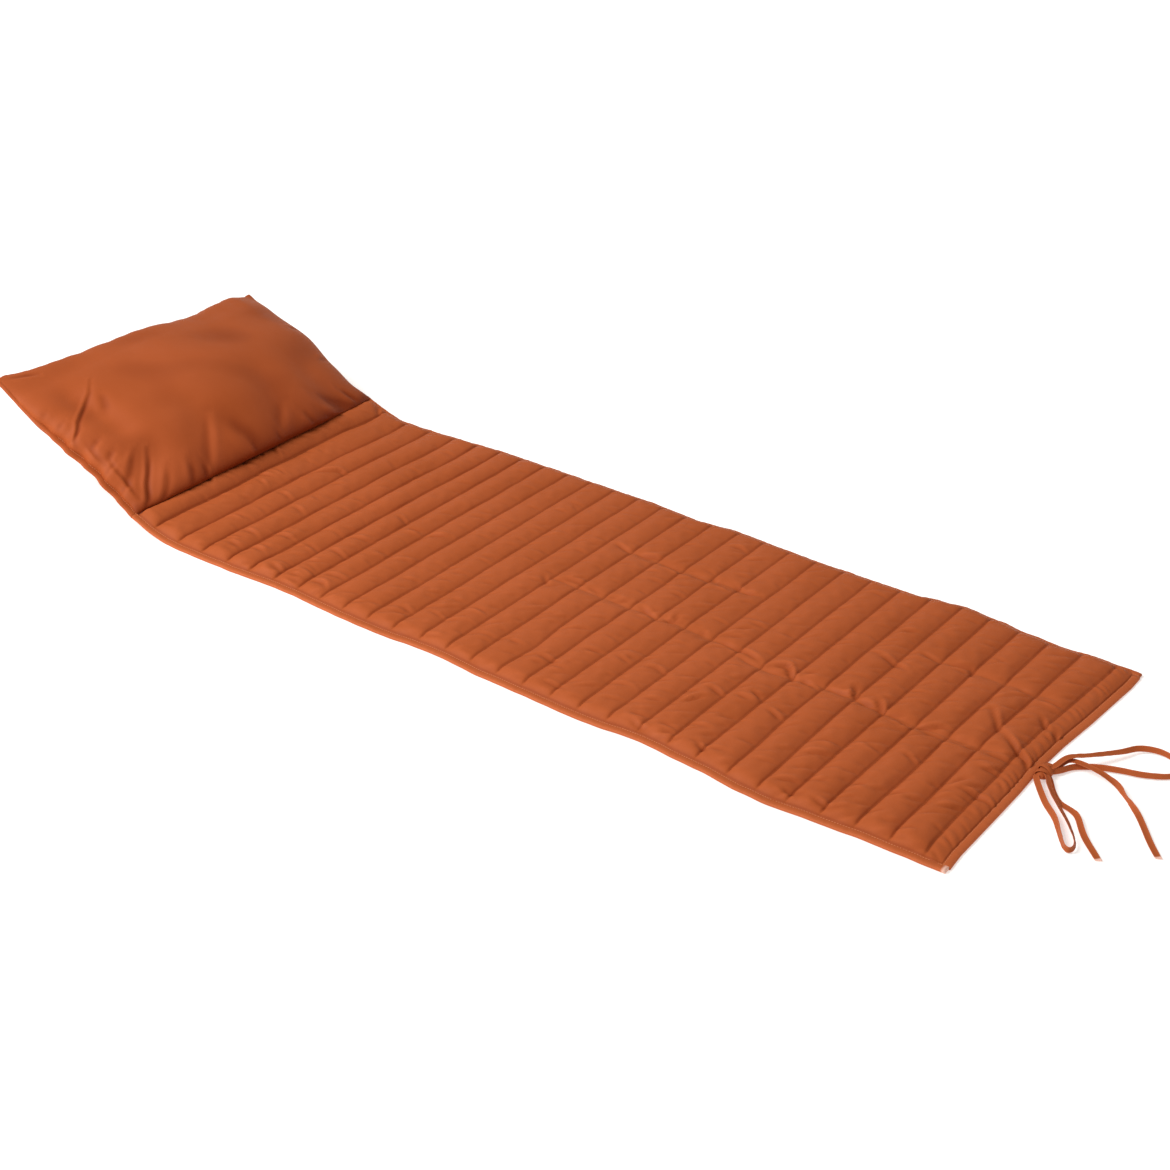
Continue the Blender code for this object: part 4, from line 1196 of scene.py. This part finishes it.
pillow = {
    "run": 0.3150,               # along the floor, from the seam to the outer edge
    "rise": 0.1440,
    "rim": 0.0040,               # both cloths together
    "above": 0.0700,
    "below": 0.1040,
    "power": 0.53,               # lower is fuller at the edges
    # How far the cloth covers the tapes
    "overNear": ((0.0, 0.002), (0.55, 0.002), (0.72, 0.009), (1.0, 0.010)),
    "overFar": 0.0095,
    "overOuter": 0.0100,
    "noseTurn": 34,              # degrees that the cloth leans out over the seam
    "noseReach": 0.034,
    "rows": 80,
    "columns": 128,
    "pressure": 1.2,
    "growth": 0.0,
    "swellCap": 0.0080,
    "smoothings": 140,           # take the small buckles out of the swelling
    "swellShare": 0.6,
    "plump": (0.95, 0.98),       # before and after it swells
    "nearWave": (0.0026, 0.055), # height, size
    "outerRipple": (0.0013, 0.045),
    "seamGap": 0.0016,
    # Share of the way, lift, how far the edge stands out
    "nearEdge": ((0.00, 0.000, 0.001), (0.15, 0.001, -0.003), (0.32, 0.010, 0.000),
                 (0.60, 0.006, 0.000), (0.85, 0.008, 0.000), (1.00, 0.019, 0.004)),
    "farEdge": ((0.00, 0.000, -0.007), (0.15, -0.006, -0.010), (0.30, -0.006, -0.006),
                (0.52, 0.001, 0.000), (0.80, -0.004, -0.004), (1.00, -0.012, -0.002)),
    "outerEdge": ((0.00, 0.019, 0.006), (0.14, 0.013, 0.002), (0.30, 0.010, -0.001), (0.50, 0.009, -0.003),
                  (0.72, -0.004, -0.004), (0.90, -0.001, -0.001), (1.00, -0.012, 0.000)),
    # Broad soft folds: first and last place (share of length, share of width), depth, width
    "folds": (((0.72, 0.12), (0.40, 0.13), 0.0070, 0.026), ((0.10, 0.07), (0.22, 0.16), 0.0060, 0.026),
              ((0.05, 0.30), (0.30, 0.36), 0.0045, 0.036), ((0.05, 0.62), (0.34, 0.66), 0.0050, 0.040),
              ((0.06, 0.86), (0.24, 0.84), 0.0050, 0.032)),
    # Depth (below zero for a raised fold), width, points
    "creases": (
        (3.0, 3.8, (262, -178), (239, -200), (221, -228), (196, -266), (170, -290), (146, -306), (120, -322)),
        (1.6, 8.0, (228, -188), (186, -214)), (3.4, 4.8, (82, -210), (65, -224), (37, -252), (-16, -292)),
        (2.0, 6.0, (90, -232), (66, -264), (52, -292)), (2.2, 6.0, (44, -200), (-6, -258)),
        (2.4, 4.6, (96, -280), (20, -282)), (2.2, 4.6, (150, -286), (100, -291)),
        (1.8, 5.0, (84, -306), (92, -272)), (1.8, 5.0, (46, -306), (52, -276)),
        (1.6, 5.0, (168, -306), (182, -276)), (1.6, 5.0, (204, -306), (214, -280)),
        (1.4, 5.0, (240, -306), (248, -282)), (-2.2, 9.0, (78, -62), (50, -84), (4, -134)),
        (-1.8, 9.0, (44, 100), (12, 48)), (2.0, 15.0, (62, -48), (10, -8)), (2.6, 12.0, (48, 172), (4, 236)),
        (-2.2, 7.0, (26, 160), (5, 196)), (2.2, 7.0, (36, -160), (4, -184)),
        (1.8, -6.0, (28, -140), (4, -146)), (1.6, 6.0, (26, -30), (5, -24)), (1.4, -6.0, (24, 34), (5, 40)),
        (1.8, 7.0, (34, 118), (5, 130)), (2.4, 7.0, (44, 244), (6, 262)),
        (1.8, 6.0, (100, -288), (112, -262)), (1.6, 6.0, (138, -288), (146, -264)),
        (1.4, 6.0, (120, 286), (112, 260)), (1.6, 6.0, (200, 286), (206, 262)),
        (3.6, 4.4, (338, -286), (334, -262), (326, -232)),
    ),
    "topRelief": (0.0010, 0.11),
    "underRelief": (0.0012, 0.06),
    # Painted shade towards the seam: share and reach of the line itself; of the slope above it the share at
    # the near side, what the far side has more, and the reach
    "seamShade": (0.7, 0.014),
    "slopeShade": (0.22, 0.40, 0.060),
}
pillowTilt = math.atan2(pillow["rise"], pillow["run"])
pillowUp = np.array((math.sin(pillowTilt), 0.0, math.cos(pillowTilt)))
pillowAlong = np.array((-math.cos(pillowTilt), 0.0, math.sin(pillowTilt)))
pillowLength = math.hypot(pillow["run"], pillow["rise"])


def pillowRim(share, across, covering=False):
    # The middle surface, either to the inside of the edge tapes or reaching over them
    share = np.asarray(share, dtype=float)
    across = np.asarray(across, dtype=float)
    run = share * pillowLength
    nearLift, nearOut = (readTable(pillow["nearEdge"], share, k) for k in (1, 2))
    farLift, farOut = (readTable(pillow["farEdge"], share, k) for k in (1, 2))
    outerLift, outerOut = (readTable(pillow["outerEdge"], across, k) for k in (1, 2))
    sides = nearLift * (1 - across) + farLift * across
    corner = pillow["nearEdge"][-1][1] * (1 - across) + pillow["farEdge"][-1][1] * across
    lift = sides + share * share * (outerLift - corner)
    high, size = pillow["nearWave"]
    wave = high * lineNoise(run, size, 97, 8) * ease(share / 0.08) * (1 - across) ** 12
    lift = lift + 0.7 * wave
    near = -cushion["width"] / 2 - nearOut - wave
    far = cushion["width"] / 2 + farOut
    insetNear = insetFar = insetOuter = cushion["binding"]
    if covering:
        insetNear = insetNear - readTable(pillow["overNear"], share)
        insetFar = insetFar - pillow["overFar"]
        insetOuter = insetOuter - pillow["overOuter"]
    high, size = pillow["outerRipple"]
    ripple = high * lineNoise(across * cushion["width"], size, 95, 8) * share * share
    along = (pillowLength + outerOut * share * share + ripple - insetOuter) * share
    start = np.array((cushion["seamX"] - pillow["seamGap"], 0.0,
                      cushion["lift"] + 0.5 * pillow["rim"] + 0.0004))
    point = start + pillowAlong * along[..., None]
    point[..., 1] = near + insetNear + (far - near - insetNear - insetFar) * across
    point[..., 2] += lift
    return point


def pillowForm(share, across, plump):
    steeper = share ** 0.72                               # the crown is fuller towards the seam
    full = np.maximum(0, 4 * steeper * (1 - steeper)) * np.maximum(0, 4 * across * (1 - across))
    full = full ** pillow["power"]
    cut = np.zeros(full.shape)
    for first, last, depth, width in pillow["folds"]:
        start = np.array((first[0] * pillowLength, first[1] * cushion["width"]))
        line = np.array((last[0] * pillowLength, last[1] * cushion["width"])) - start
        x = share * pillowLength - start[0]
        y = across * cushion["width"] - start[1]
        slide = np.clip((x * line[0] + y * line[1]) / (line @ line), 0, 1)
        away = np.hypot(x - line[0] * slide, y - line[1] * slide)
        cut += depth * np.exp(-(away / width) ** 2)
    cut *= np.minimum(1, 3 * full)
    middle = pillowRim(share, across, covering=True)
    above = 0.5 * pillow["rim"] + np.maximum(0, plump * pillow["above"] * full - cut)
    below = 0.5 * pillow["rim"] + plump * pillow["below"] * full
    lean = np.radians(pillow["noseTurn"]) * np.exp(-(share * pillowLength / pillow["noseReach"]) ** 2)
    lean = lean * ease(across / 0.08) * ease((1 - across) / 0.06)
    out = pillowUp * np.cos(lean)[..., None] - pillowAlong * np.sin(lean)[..., None]
    top = middle + out * above[..., None]
    under = middle - pillowUp * below[..., None]
    under[..., 2] = np.maximum(under[..., 2], 0.0)
    return top, under, full


def easedShares(count):
    # Closer together at both ends
    even = np.linspace(0, 1, count + 1)
    return 0.55 * even + 0.45 * (0.5 - 0.5 * np.cos(np.pi * even))


def makePillow():
    share, across = np.meshgrid(easedShares(pillow["rows"]), easedShares(pillow["columns"]), indexing="ij")
    firstPlump, lastPlump = pillow["plump"]
    top, under, full = pillowForm(share, across, firstPlump)
    points, faces = closedForm(top, under)
    rim = np.ones(share.shape, dtype=bool)
    rim[1:-1, 1:-1] = False
    fixed = np.concatenate([rim.ravel(), rim.ravel() | (under[..., 2].ravel() < 0.0006)])
    swollen = swell(points, faces, np.nonzero(fixed)[0], pillow["pressure"], pillow["growth"],
                    pillow["swellCap"])
    moved = (swollen - points).reshape(2, *share.shape, 3)
    for _ in range(pillow["smoothings"]):
        beside = (moved[:, :-2, 1:-1] + moved[:, 2:, 1:-1] + moved[:, 1:-1, :-2] + moved[:, 1:-1, 2:])
        moved[:, 1:-1, 1:-1] = 0.5 * moved[:, 1:-1, 1:-1] + 0.125 * beside

    share = doubleGrid(share)
    across = doubleGrid(across)
    run = share * pillowLength
    wide = across * cushion["width"]
    top, under, full = pillowForm(share, across, lastPlump)
    top = top + pillow["swellShare"] * doubleGrid(moved[0])
    under = under + pillow["swellShare"] * doubleGrid(moved[1])
    relief = np.zeros(full.shape)
    pressCreases(relief, run, (across - 0.5) * cushion["width"], pillow["creases"])
    relief *= np.minimum(1, 2.5 * full + 0.15)
    high, size = pillow["topRelief"]
    relief += high * softNoise(run, wide, size, 91, 20) * np.minimum(1, 2 * full)
    top = top + pillowUp * relief[..., None]
    high, size = pillow["underRelief"]
    underRelief = high * softNoise(run, wide, size, 92, 20) * np.minimum(1, 2 * full)
    under = under - pillowUp * underRelief[..., None]
    under[..., 2] = np.maximum(under[..., 2], 0.0)
    top[..., 2] = np.maximum(top[..., 2], under[..., 2] + 0.001)
    # Painted shade: darker colour in the creases, along the seam and on the slope above it, more at the far
    # side
    much, reach = pillow["seamShade"]
    hollow = np.clip(-relief / 0.004, 0, 1) + much * np.exp(-(run / reach) ** 2)
    near, far, reach = pillow["slopeShade"]
    hollow += (near + far * ease((across - 0.25) / 0.5)) * np.exp(-(run / reach) ** 2)
    rubbed = np.clip(relief / 0.003, 0, 1)
    nothing = np.zeros(hollow.size)
    piece = makePiece("pillowCloth", *closedForm(top, under), "pillow cloth", "pillow_cloth", "head_pillow",
                      [("hollow", np.concatenate([np.clip(hollow, 0, 1).ravel(), nothing])),
                       ("rubbed", np.concatenate([rubbed.ravel(), nothing]))])


makePillow()
print("stage: head pillow")


def pillowTape(name, node, share, across, outward, seed, tail=True, sewn=False):
    inner = pillowRim(share, across)
    if tail:
        more = inner[-1] + pillowAlong * np.linspace(0.003, cushion["binding"], 4)[:, None]
        inner = np.concatenate([inner, more])
    inner = inner - pillowUp * 0.5 * binding["thickness"]
    layTape(name, node, inner, outward, pillowUp, seed, finish="pillow edge", sewn=sewn)


sideways = np.array((0.0, 1.0, 0.0))
side = np.linspace(0, 1, int(pillowLength / binding["step"]) + 1)
outer = np.linspace(0, 1, int(cushion["width"] / binding["step"]) + 1)
pillowTape("pillowBindingNear", "pillow_binding_near", side, 0 * side, -sideways, 81, sewn=True)
pillowTape("pillowBindingFar", "pillow_binding_far", side, 0 * side + 1, sideways, 83)
pillowTape("pillowBindingOuter", "pillow_binding_outer", 0 * outer + 1, outer, pillowAlong, 85, tail=False)
threadStitches("edgeStitches", edgeLines, stitches["edge"], "binding_cloth", "edge thread", 63)
print("stage: pillow bindings and top stitching")


# Floor

ground = {
    "half": 30,
    "height": -0.0004,
    "look": {"Base Color": (0.90, 0.90, 0.90, 1), "Emission Color": (1, 1, 1, 1), "Emission Strength": 0.42,
             "Roughness": 0.9, "Specular IOR Level": 0.1},
}


def makeFloor():
    material = bpy.data.materials.new("paleFloor")
    material.use_nodes = True
    setInputs(material.node_tree.nodes["Principled BSDF"], ground["look"])
    half = ground["half"]
    signs = ((-1, -1), (1, -1), (1, 1), (-1, 1))
    corners = [(half * x, half * y, ground["height"]) for x, y in signs]
    mesh = bpy.data.meshes.new("paleFloor")
    mesh.from_pydata(corners, [], [(0, 1, 2, 3)])
    mesh.materials.append(material)
    floor = bpy.data.objects.new("paleFloor", mesh)
    scene.collection.objects.link(floor)


makeFloor()
print("stage: floor")
